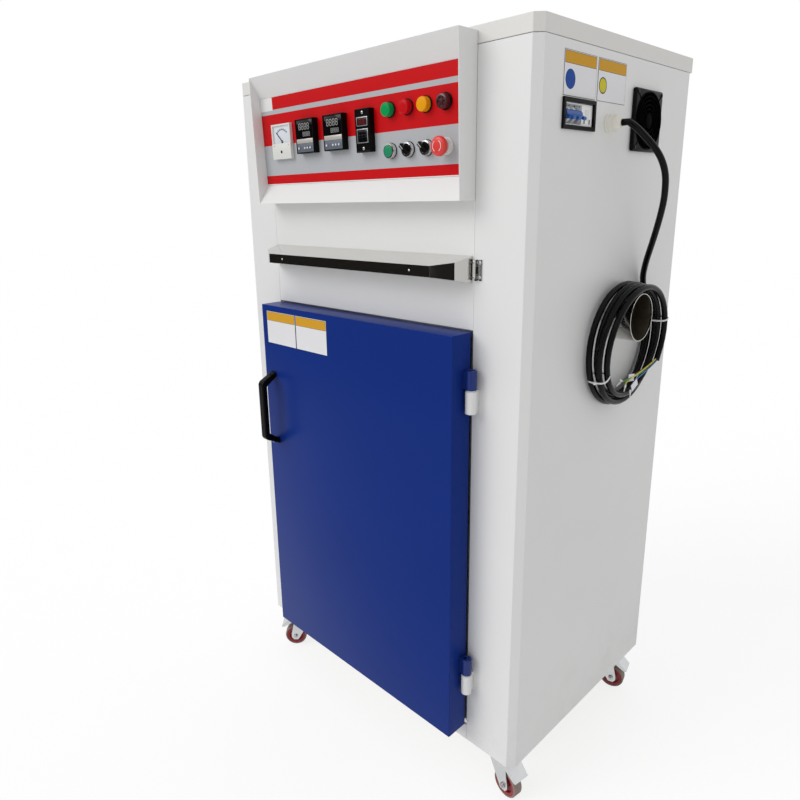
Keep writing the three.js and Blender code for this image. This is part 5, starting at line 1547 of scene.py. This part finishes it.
    def emergency_stop(self) -> None:
        """A red mushroom head with two turning arcs on a pale skirt."""
        x = self.first_lamp + self.lamp_pitch * 3
        skirt = turned([
            (0.0086, FIT), (0.0158, FIT), (0.0158, 0.0035), (0.0150, 0.0046), (0.0150, 0.0108),
            (0.0142, 0.0117), (0.0090, 0.0118), (0.0086, 0.0113), (0.0086, FIT),
        ], 48, closed=True)
        place(skirt, on_plate(x, self.button_rise))
        self.keep(skirt, "estop_skirt", "white_moulding", "galvanised", ["estop_base"])
        head = turned([
            (0.0080, 0.0010), (0.0080, 0.0172), (0.0150, 0.0176), (0.0170, 0.0186), (0.0180, 0.0206),
            (0.0180, 0.0238), (0.0171, 0.0266), (0.0151, 0.0284), (0.0117, 0.0294), (0.0054, 0.0298),
            (0.0010, 0.0299),
        ], 56)
        place(head, on_plate(x, self.button_rise))
        self.keep(head, "estop_mushroom", "stop_red", "stop_red", ["estop_head"], body="estop")
        for label, start in (("left", 120), ("right", -60)):
            points = []
            for i in range(15):
                angle = math.radians(start + 120 * i / 14)
                points.append((0.0100 * math.cos(angle), 0.0100 * math.sin(angle), 0.02956))
            arc = tube(points, 0.0007, 1)
            place(arc, on_plate(x, self.button_rise))
            self.keep(arc, f"estop_arc_{label}", "sticker_white", "white_plastic", body="estop")


@dataclass
class Rail(Assembly):
    """The polished hood in front of the upper panel, with its rivets and its butt hinge.

    Attributes:
        rivet_x: distance of each rivet from the middle.
        rivet_z: height of the rivets.
        rivet_proud: how far the hood's face stands before the front.
        hinge_z: height of the hinge's middle.
        hinge_hole: distance of the hinge's screws from that.
        post_x: the screws of the leaf on the post, beside the middle.
        leaf_x: the screws of the leaf on the rail, beside the middle.
    """

    body: str = "rail"
    rivet_x: float = 0.212
    rivet_z: float = 1.239
    rivet_proud: float = 0.0660
    hinge_z: float = 1.2405
    hinge_hole: float = 0.014
    post_x: float = 0.3372
    leaf_x: float = 0.3222

    def build(self) -> None:
        """Dresses the hood and the hinge, and adds rivets and screws."""
        self.dress("polished_steel", "push_rail", fold=0.0010)
        self.dress("chrome_bezel", "rail_hinge", fold=0.0004)
        for label, x in (("left", -self.rivet_x), ("right", self.rivet_x)):
            rivet = turned([(0.0022, 0), *domed(0.0022, 0.0002, 0.0011, 4)], 20)
            place(rivet, on_front(x, self.rivet_z, self.rivet_proud))
            self.keep(rivet, f"rail_rivet_{label}", "bright_zinc", "zinc")
        for i, z in enumerate((self.hinge_z - self.hinge_hole, self.hinge_z + self.hinge_hole)):
            head = place(screw_head(0.0030, 0.0014), on_front(self.post_x, z, 0.0019))
            self.keep(head, f"rail_post_screw_{i + 1}", "screw_zinc", "zinc", body="cabinet")
            head = place(screw_head(0.0028, 0.0014), on_front(self.leaf_x, z, 0.0022))
            self.keep(head, f"rail_leaf_screw_{i + 1}", "screw_zinc", "zinc")


@dataclass
class SideFittings(Assembly):
    """What stands on the right side: pipe, breaker, fan and cable gland.

    Attributes:
        pipe_wall: the pipe's wall.
        pipe_reach: how far the pipe stands out.
        pipe_inner: where its inner end stands, beside the cabinet's middle.
        pipe_skin: depth of the lining's seat and of the rim's rounding.
        lever_depth: how far inside the side's face the axis of the toggles lies.
        lever_z: height of that axis.
        boss_y: the middle of each round boss beside a toggle, behind the front.
        mark_y: each mark above a toggle, behind the front.
        mark_z: height of those marks.
        fan_y: the fan's middle behind the front.
        fan_z: its height.
        fan_size: side of its frame.
        fan_proud: how far its guard stands out.
        fan_bore: inner radius of its barrel.
        fan_barrel: outer radius of its barrel.
        fan_depth: how far its barrel reaches in.
        fan_hole: distance of its screws from its middle.
        guard_first: radius of the guard's first ring.
        guard_pitch: distance between two of its rings.
        gland_y: the gland's place behind the front.
        gland_z: its height.
    """

    pipe_wall: float = 0.0015
    pipe_reach: float = 0.065
    pipe_inner: float = 0.296
    pipe_skin: float = 0.0004
    lever_depth: float = 0.0162
    lever_z: float = 1.5155
    boss_y: tuple[float, ...] = (0.0875, 0.1053, 0.1233, 0.1413)
    mark_y: tuple[float, ...] = (0.0975, 0.1155, 0.1335)
    mark_z: float = 1.5285
    fan_y: float = 0.3945
    fan_z: float = 1.5205
    fan_size: float = 0.121
    fan_proud: float = 0.011
    fan_bore: float = 0.054
    fan_barrel: float = 0.057
    fan_depth: float = 0.038
    fan_hole: float = 0.0742
    guard_first: float = 0.0145
    guard_pitch: float = 0.0082
    gland_y: float = 0.245
    gland_z: float = 1.507

    def build(self) -> None:
        """Builds each fitting."""
        self.pipe()
        self.breaker()
        self.fan()
        self.gland()

    def pipe(self) -> None:
        """A thin rolled pipe with a bright rim, and its brown inside as a lining."""
        outer, inner, skin = PIPE_RADIUS, PIPE_RADIUS - self.pipe_wall, self.pipe_skin
        length = SIDE_X + self.pipe_reach - self.pipe_inner
        shell = turned([
            (inner + skin, 0), (outer, 0), (outer, length - skin), (outer - skin, length),
            (inner + skin, length), (inner, length - skin), (inner, length - 0.004),
            (inner + skin, length - 0.0044), (inner + skin, 0),
        ], 72, closed=True)
        where = Matrix.Translation(cabinet(self.pipe_inner, PIPE_Y, PIPE_Z)) @ Facing.RIGHT.value
        place(shell, where)
        self.keep(shell, "exhaust_pipe_shell", "pipe_steel", "stainless", ["exhaust_pipe"])
        lining = turned([
            (inner, 0.0002), (inner + 0.00035, 0.0002), (inner + 0.00035, length - 0.0045),
            (inner, length - 0.0045), (inner, 0.0002),
        ], 72, closed=True)
        place(lining, where)
        self.keep(lining, "exhaust_pipe_inside", "pipe_inside", "stainless")
        seam = block(
            (-0.0006, outer - 0.0001, length - 0.064), (0.0006, outer + skin, length - 0.001), 0.0002, 1
        )
        place(seam, where @ Matrix.Rotation(math.radians(200), 4, "Z"))
        self.keep(seam, "exhaust_pipe_seam", "pipe_steel", "stainless")

    def breaker(self) -> None:
        """The breaker's window, marks and ganged toggles."""
        self.dress("black_moulding", "breaker_window", fold=0.0008)
        self.dress("breaker_white", "breaker_body", fold=0.0006)
        self.dress("toggle_blue", "breaker_lever", fold=0.0008)
        for i, y in enumerate(self.boss_y):
            wide = 0.0014 if y in (self.boss_y[0], self.boss_y[-1]) else 0.0042
            boss = turned([
                (0.0150, -wide), (0.0154, -wide + 0.0004), (0.0154, wide - 0.0004), (0.0150, wide),
            ], 40)
            axis = cabinet(SIDE_X - self.lever_depth, y, self.lever_z)
            place(boss, Matrix.Translation(axis) @ Facing.FRONT.value)
            self.keep(boss, f"breaker_boss_{i + 1}", "breaker_white", "white_plastic")
        for i, y in enumerate(self.mark_y):
            mark = block((-0.0012, -0.0012, 0), (0.0012, 0.0012, 0.0003), 0.0001, 1)
            place(mark, on_side(y, self.mark_z, FIT * 2))
            self.keep(mark, f"breaker_mark_{i + 1}", "print_black", "black_plastic")
        window = block((-0.006, -0.009, 0), (0.006, 0.009, 0.0004), 0.0001, 1)
        place(window, on_side(0.1610, 1.5165, FIT * 2))
        self.keep(window, "breaker_blank_label", "sticker_white", "white_plastic")
        for i, y in enumerate((0.1520, 0.1700)):
            slot = block((-0.0014, -0.004, 0), (0.0014, 0.004, 0.0003), 0.0001, 1)
            place(slot, on_side(y, 1.5050, FIT * 2))
            self.keep(slot, f"breaker_slot_{i + 1}", "print_black", "black_plastic")

    def fan(self) -> None:
        """The cooling fan: a rounded square frame, a guard of rings and four screws."""
        half, proud = self.fan_size / 2, self.fan_proud
        bore, barrel_radius, depth = self.fan_bore, self.fan_barrel, self.fan_depth
        where = on_side(self.fan_y, self.fan_z)
        self.dress("black_matt", "fan_rotor")
        plate = block((-half, -half, FIT), (half, half, proud - 0.002), 0.004, 3)
        carved(plate, [turned([(bore, -0.01), (bore, 0.03)], 64)])
        barrel = turned([
            (bore, -depth), (barrel_radius, -depth), (barrel_radius, FIT + 0.001), (bore, FIT + 0.001),
            (bore, -depth),
        ], 64, closed=True)
        housing = place(joined([plate, barrel]), where)
        self.keep(housing, "fan_frame", "black_moulding", "black_plastic", ["fan_housing"])
        guard = []
        for i in range(6):
            radius = self.guard_first + i * self.guard_pitch
            points = [(radius * math.cos(a), radius * math.sin(a), proud - 0.001) for a in ring_angles(48)]
            guard.append(tube(points, 0.0010, 2, filled=False))
        for i in range(4):
            angle = math.radians(45 + 90 * i)
            inner = Vector((0.0135 * math.cos(angle), 0.0135 * math.sin(angle), proud - 0.0022))
            outer = Vector((0.0735 * math.cos(angle), 0.0735 * math.sin(angle), proud - 0.0022))
            guard.append(tube([inner, outer], 0.0012, 2))
        guard.append(turned([
            (0.0135, proud - 0.003), (0.0135, proud - 0.001), (0.012, proud - 0.0004), (0.004, proud),
        ], 40))
        self.keep(place(joined(guard), where), "fan_guard", "black_matt", "black_plastic")
        for i in range(4):
            angle = math.radians(45 + 90 * i)
            corner = Vector((math.cos(angle), math.sin(angle), 0)) * self.fan_hole
            head = screw_head(0.0036, 0.0020)
            place(head, where @ Matrix.Translation((*corner.xy, proud - 0.002)))
            self.keep(head, f"fan_screw_{i + 1}", "black_gloss", "black_plastic")
        stays = []
        for i in range(4):
            stay = block((0.010, -0.003, -depth), (0.0555, 0.003, -0.0352), 0.0006)
            stays.append(place(stay, Matrix.Rotation(math.radians(90 * i), 4, "Z")))
        hub = turned([(0.022, -depth), (0.022, -0.0352), (0.004, -0.0350), (0.004, -0.006)], 40)
        self.keep(place(joined([*stays, hub]), where), "fan_stays", "black_matt", "black_plastic")

    def gland(self) -> None:
        """The cable gland: flanged six-sided nut, dome with ribs, and its lock nut inside."""
        nut = turned([
            (0.0150, FIT), (0.0168, 0.0012), (0.0168, 0.0098), (0.0155, 0.0110), (0.0130, 0.0111),
        ], 6)
        nut = bevelled(nut, 0.0006, 2)
        washer = turned([(0.0172, FIT), (0.0172, 0.0016), (0.0160, 0.0022), (0.010, 0.0023)], 48)
        dome = turned([
            (0.0140, 0.0100), (0.0144, 0.0112), (0.0144, 0.0180), (0.0136, 0.0206), (0.0122, 0.0238),
            (0.0104, 0.0262), (0.0086, 0.0276), (0.0074, 0.0279),
        ])
        ribs = []
        for i in range(12):
            rib = block((0.0139, -0.0009, 0.0118), (0.0150, 0.0009, 0.0186), 0.0004, 1)
            ribs.append(place(rib, Matrix.Rotation(i / 12 * math.tau, 4, "Z")))
        lock = turned([(0.0150, -0.0082), (0.0150, -0.0024), (0.0110, -0.0023)], 6)
        stem = turned([(0.0098, -0.0140), (0.0100, -0.0130), (0.0100, 0.004), (0.009, 0.0045)])
        piece = joined([nut, washer, dome, *ribs, bevelled(lock, 0.0005, 1), stem])
        place(piece, on_side(self.gland_y, self.gland_z))
        self.keep(piece, "gland_body", "nylon", "nylon", ["cable_gland"])


def ring_angles(count: int) -> list[float]:
    """Angles of a closed ring, with the first repeated at the end."""
    return [i / count * math.tau for i in range(count + 1)]


@dataclass
class Caster(Assembly):
    """One braked swivel caster.

    Attributes:
        place_name: where it stands, such as front_right.
        wheel_radius: radius of the wheel.
        wheel_width: width of the wheel.
        wheel_height: height of the axle.
        fork_gap: distance from the wheel's face to the fork's outer face.
        plate_wall: thickness of the plate that carries the caster.
        bolt_x: distance of each bolt from the pivot, across.
        bolt_y: distance of each bolt from the pivot, front to back.
    """

    place_name: str = "front_right"
    wheel_radius: float = 0.033
    wheel_width: float = 0.025
    wheel_height: float = 0.032594
    fork_gap: float = 0.0055
    plate_wall: float = 0.003
    bolt_x: float = 0.038
    bolt_y: float = 0.022

    def build(self) -> None:
        """Builds the wheel and its axle nuts, and dresses the fork and the pedal."""
        name = self.place_name
        self.dress("bright_zinc", f"caster_fork_{name}", f"brake_pedal_{name}", fold=0.0008)
        low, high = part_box(f"caster_wheel_{name}")
        hub = Vector(((low.x + high.x) / 2, (low.y + high.y) / 2, self.wheel_height))
        axis = Vector(joint(f"roll_{name}")["axis"]).normalized()
        where = aimed(hub, axis)
        self.wheel(where)
        half = self.wheel_width / 2 + self.fork_gap
        for label, side in (("inner", -1), ("outer", 1)):
            nut = turned([
                (0.0062, 0), (0.0068, 0.0006), (0.0068, 0.0038), (0.0060, 0.0046), (0.0030, 0.0047),
            ], 6)
            bevelled(nut, 0.0004, 1)
            end = turned([(0.0038, 0.0040), (0.0038, 0.0066), (0.0028, 0.0072)], 24)
            flip = Matrix.Identity(4) if side > 0 else Matrix.Rotation(math.pi, 4, "X")
            pair = place(joined([nut, end]), where @ flip @ Matrix.Translation((0, 0, half)))
            self.keep(pair, f"axle_nut_{label}_{name}", "screw_zinc", "zinc", body=f"fork_{name}")
        self.bolts()

    def wheel(self, where: Matrix) -> None:
        """The red core with a dished web, and the worn tread with rounded shoulders.

        Args:
            where: the wheel's frame, with local +Z along its axle.
        """
        name, half, radius = self.place_name, self.wheel_width / 2, self.wheel_radius
        core_radius = radius - 0.0045
        core = turned([
            (0.0055, -0.0100), (0.0100, -0.0100), (0.0108, -0.0088), (0.0108, -0.0060), (0.0205, -0.0060),
            (0.0216, -0.0108), (core_radius, -0.0112), (core_radius, 0.0112), (0.0216, 0.0108),
            (0.0205, 0.0060), (0.0108, 0.0060), (0.0108, 0.0088), (0.0100, 0.0100), (0.0055, 0.0100),
            (0.0055, -0.0100),
        ], 56, closed=True)
        place(core, where)
        self.keep(core, f"wheel_core_{name}", "wheel_red", "wheel_red", body=f"wheel_{name}")
        shoulder = 0.003
        profile = [(core_radius - 0.0002, -half + 0.0015), (radius - shoulder - 0.001, -half)]
        for i in range(5):
            angle = i / 4 * math.pi / 2
            profile.append((
                radius - shoulder + shoulder * math.sin(angle),
                -half + shoulder - shoulder * math.cos(angle),
            ))
        profile += [(r, -z) for r, z in reversed(profile)]
        tread = turned([*profile, profile[0]], 64, closed=True)
        place(tread, where)
        self.keep(
            tread, f"wheel_tread_{name}", "wheel_tread", "wheel_red",
            [f"caster_wheel_{name}"], body=f"wheel_{name}",
        )

    def bolts(self) -> None:
        """Four bolts through the plate that carries the caster."""
        name = self.place_name
        pivot = Vector(joint(f"swivel_{name}")["pos_m"])
        under = BODY_LOW.z - self.plate_wall - FIT
        head = turned([
            (0.0056, 0), (0.0062, 0.0006), (0.0062, 0.0036), (0.0054, 0.0042), (0.002, 0.0043),
        ], 6)
        bevelled(head, 0.0004, 1)
        down = Matrix.Rotation(math.pi, 4, "X")
        count = 0
        for dx in (-self.bolt_x, self.bolt_x):
            for dy in (-self.bolt_y, self.bolt_y):
                count += 1
                spot = Vector((pivot.x + dx, pivot.y + dy, under))
                bolt = copied(head, Matrix.Translation(spot) @ down)
                self.keep(bolt, f"plate_bolt_{count}_{name}", "screw_zinc", "zinc", body="cabinet")
        bpy.data.objects.remove(head)


@dataclass
class Studio:
    """Camera, lamps, white surroundings and the floor.

    Attributes:
        eye: the camera's place.
        forward: the way it looks.
        right: the way that the picture's right side points.
        lens: focal length in millimetres on a sensor 36 wide.
        shift: the picture's shift across and up.
        sky: how bright the surround is for what isn't a mirror.
        key_energy: strength of the key lamp.
        key_spread: its angular size in degrees.
        key_toward: the way that it shines.
        floor_size: side of the floor.
        floor_drop: how far the floor lies below the wheels.
        floor_glow: brightness of the floor's white share.
        floor_share: that share, for the rays that see the background.
    """

    eye: tuple[float, float, float] = (1.0797, -1.2577, 1.3744)
    forward: tuple[float, float, float] = (-0.69470, 0.67073, -0.25982)
    right: tuple[float, float, float] = (0.69799, 0.71587, -0.01823)
    lens: float = 29.515
    shift: tuple[float, float] = (0.018375, -0.030363)
    sky: float = 0.62
    key_energy: float = 1.22
    key_spread: float = 40.0
    key_toward: tuple[float, float, float] = (0.42, 0.72, -0.55)
    floor_size: float = 40.0
    floor_drop: float = 0.0002
    floor_glow: float = 1.1
    floor_share: float = 0.72

    def camera(self) -> None:
        """Sets the camera at the photograph's place and angle."""
        data = bpy.data.cameras.new("camera")
        data.lens = self.lens
        data.sensor_width = 36
        data.shift_x, data.shift_y = self.shift
        data.clip_start, data.clip_end = 0.05, 200
        camera = bpy.data.objects.new("camera", data)
        back = -Vector(self.forward).normalized()
        across = Vector(self.right)
        across = (across - back * across.dot(back)).normalized()
        up = back.cross(across)
        rotation = Matrix((across, up, back)).transposed().to_4x4()
        camera.matrix_world = Matrix.Translation(Vector(self.eye) + Vector((0, 0, SETTLE))) @ rotation
        bpy.context.scene.collection.objects.link(camera)
        bpy.context.scene.camera = camera

    def background_mask(self, tree: bpy.types.NodeTree) -> bpy.types.NodeSocket:
        """A mask that is 1 for camera, glossy and transmission rays."""
        path = add_node(tree, "LightPath").outputs
        last = path["Is Camera Ray"]
        for label in ("Is Glossy Ray", "Is Transmission Ray"):
            last = add_node(tree, "Math", {0: last, 1: path[label]}, operation="MAXIMUM").outputs[0]
        return last

    def world(self) -> None:
        """A white surround that lights the object at a plain level."""
        world = bpy.data.worlds.new("studio")
        world.use_nodes = True
        bpy.context.scene.world = world
        tree = world.node_tree
        background = tree.nodes["Background"]
        background.inputs["Color"].default_value = (1, 1, 1, 1)
        levels = {"To Min": self.sky, "To Max": 1.0, "Value": self.background_mask(tree)}
        level = add_node(tree, "MapRange", levels)
        tree.links.new(level.outputs[0], background.inputs["Strength"])

    def lamps(self) -> None:
        """A broad soft key from the front left and above."""
        data = bpy.data.lights.new("key", "SUN")
        data.energy = self.key_energy
        data.angle = math.radians(self.key_spread)
        lamp = bpy.data.objects.new("key", data)
        lamp.rotation_mode = "QUATERNION"
        lamp.rotation_quaternion = Vector(self.key_toward).to_track_quat("-Z", "Y")
        bpy.context.scene.collection.objects.link(lamp)

    def floor(self) -> None:
        """A plain pale floor that keeps the object's shadow."""
        clear()
        bpy.ops.mesh.primitive_plane_add(size=self.floor_size, location=(0, 0, -self.floor_drop))
        bpy.ops.object.transform_apply(location=True)
        floor = bpy.context.object
        floor.name = "floor"
        material = bpy.data.materials.new("floor_white")
        material.use_nodes = True
        tree = material.node_tree
        tree.nodes.remove(tree.nodes["Principled BSDF"])
        matt = add_node(tree, "BsdfDiffuse", {"Color": (0.88, 0.88, 0.88, 1)})
        glow = add_node(tree, "Emission", {"Color": (1, 1, 1, 1), "Strength": self.floor_glow})
        seen = {0: self.background_mask(tree), 1: self.floor_share}
        share = add_node(tree, "Math", seen, operation="MULTIPLY")
        mix = add_node(tree, "MixShader", {0: share.outputs[0], 1: matt.outputs[0], 2: glow.outputs[0]})
        tree.links.new(mix.outputs[0], tree.nodes["Material Output"].inputs["Surface"])
        floor.data.materials.append(material)
        clear()

    def dark_card(self, name: str, spot: Point, target: Point, size: tuple[float, float]) -> None:
        """A dark screen that only mirrors and gloss see.

        Args:
            name: its name.
            spot: its middle.
            target: the place that it faces.
            size: its width and height.
        """
        clear()
        bpy.ops.mesh.primitive_plane_add(size=1)
        card = bpy.context.object
        card.name = name
        where = aimed(spot, Vector(target) - Vector(spot))
        card.data.transform(where @ Matrix.Diagonal((*size, 1, 1)))
        card.data.materials.append(self.card_black())
        card.visible_camera = False
        card.visible_diffuse = False
        card.visible_shadow = False
        card.visible_transmission = False
        clear()

    def card_black(self) -> bpy.types.Material:
        """Gives the cards' black, and makes it the first time."""
        if "card_black" not in MADE:
            material = bpy.data.materials.new("card_black")
            material.use_nodes = True
            shader = material.node_tree.nodes["Principled BSDF"]
            shader.inputs["Base Color"].default_value = (0.012, 0.009, 0.007, 1)
            shader.inputs["Roughness"].default_value = 1.0
            MADE["card_black"] = material
        return MADE["card_black"]

    def build(self) -> None:
        """Builds everything but the camera, which comes first in the scene's making."""
        bpy.context.scene.view_settings.view_transform = "Standard"
        self.world()
        self.lamps()
        self.floor()
        self.dark_card("dark_card_front", (-3.6, -3.4, 1.1), (0, -0.3, 1.2), (7.5, 2.6))
        self.dark_card("dark_card_behind", (1.9, -3.0, 1.2), (0.3, -0.3, 1.2), (1.5, 3.4))
        self.dark_card("dark_card_right", (4.2, -0.9, 1.6), (0.4, -0.1, 1.3), (1.1, 3.6))


def main() -> None:
    """Builds the scene and reports each piece."""
    logging.basicConfig(level=logging.INFO, format="%(message)s")
    GROUPS.update(mottle=mottle_group(), brush=brush_group(), grime=grime_group())
    studio = Studio()
    studio.camera()
    places = ("front_right", "front_left", "rear_right", "rear_left")
    parts: list[Assembly] = [
        SupplyCord(), Body(), Door(), ControlBox(), Rail(), SideFittings(),
        *[Caster(place_name=name) for name in places],
    ]
    for part in parts:
        part.build()
        for piece in part.made:
            LOG.info("%s: %s", type(part).__name__, piece.name)
    studio.build()


if __name__ == "__main__":
    main()
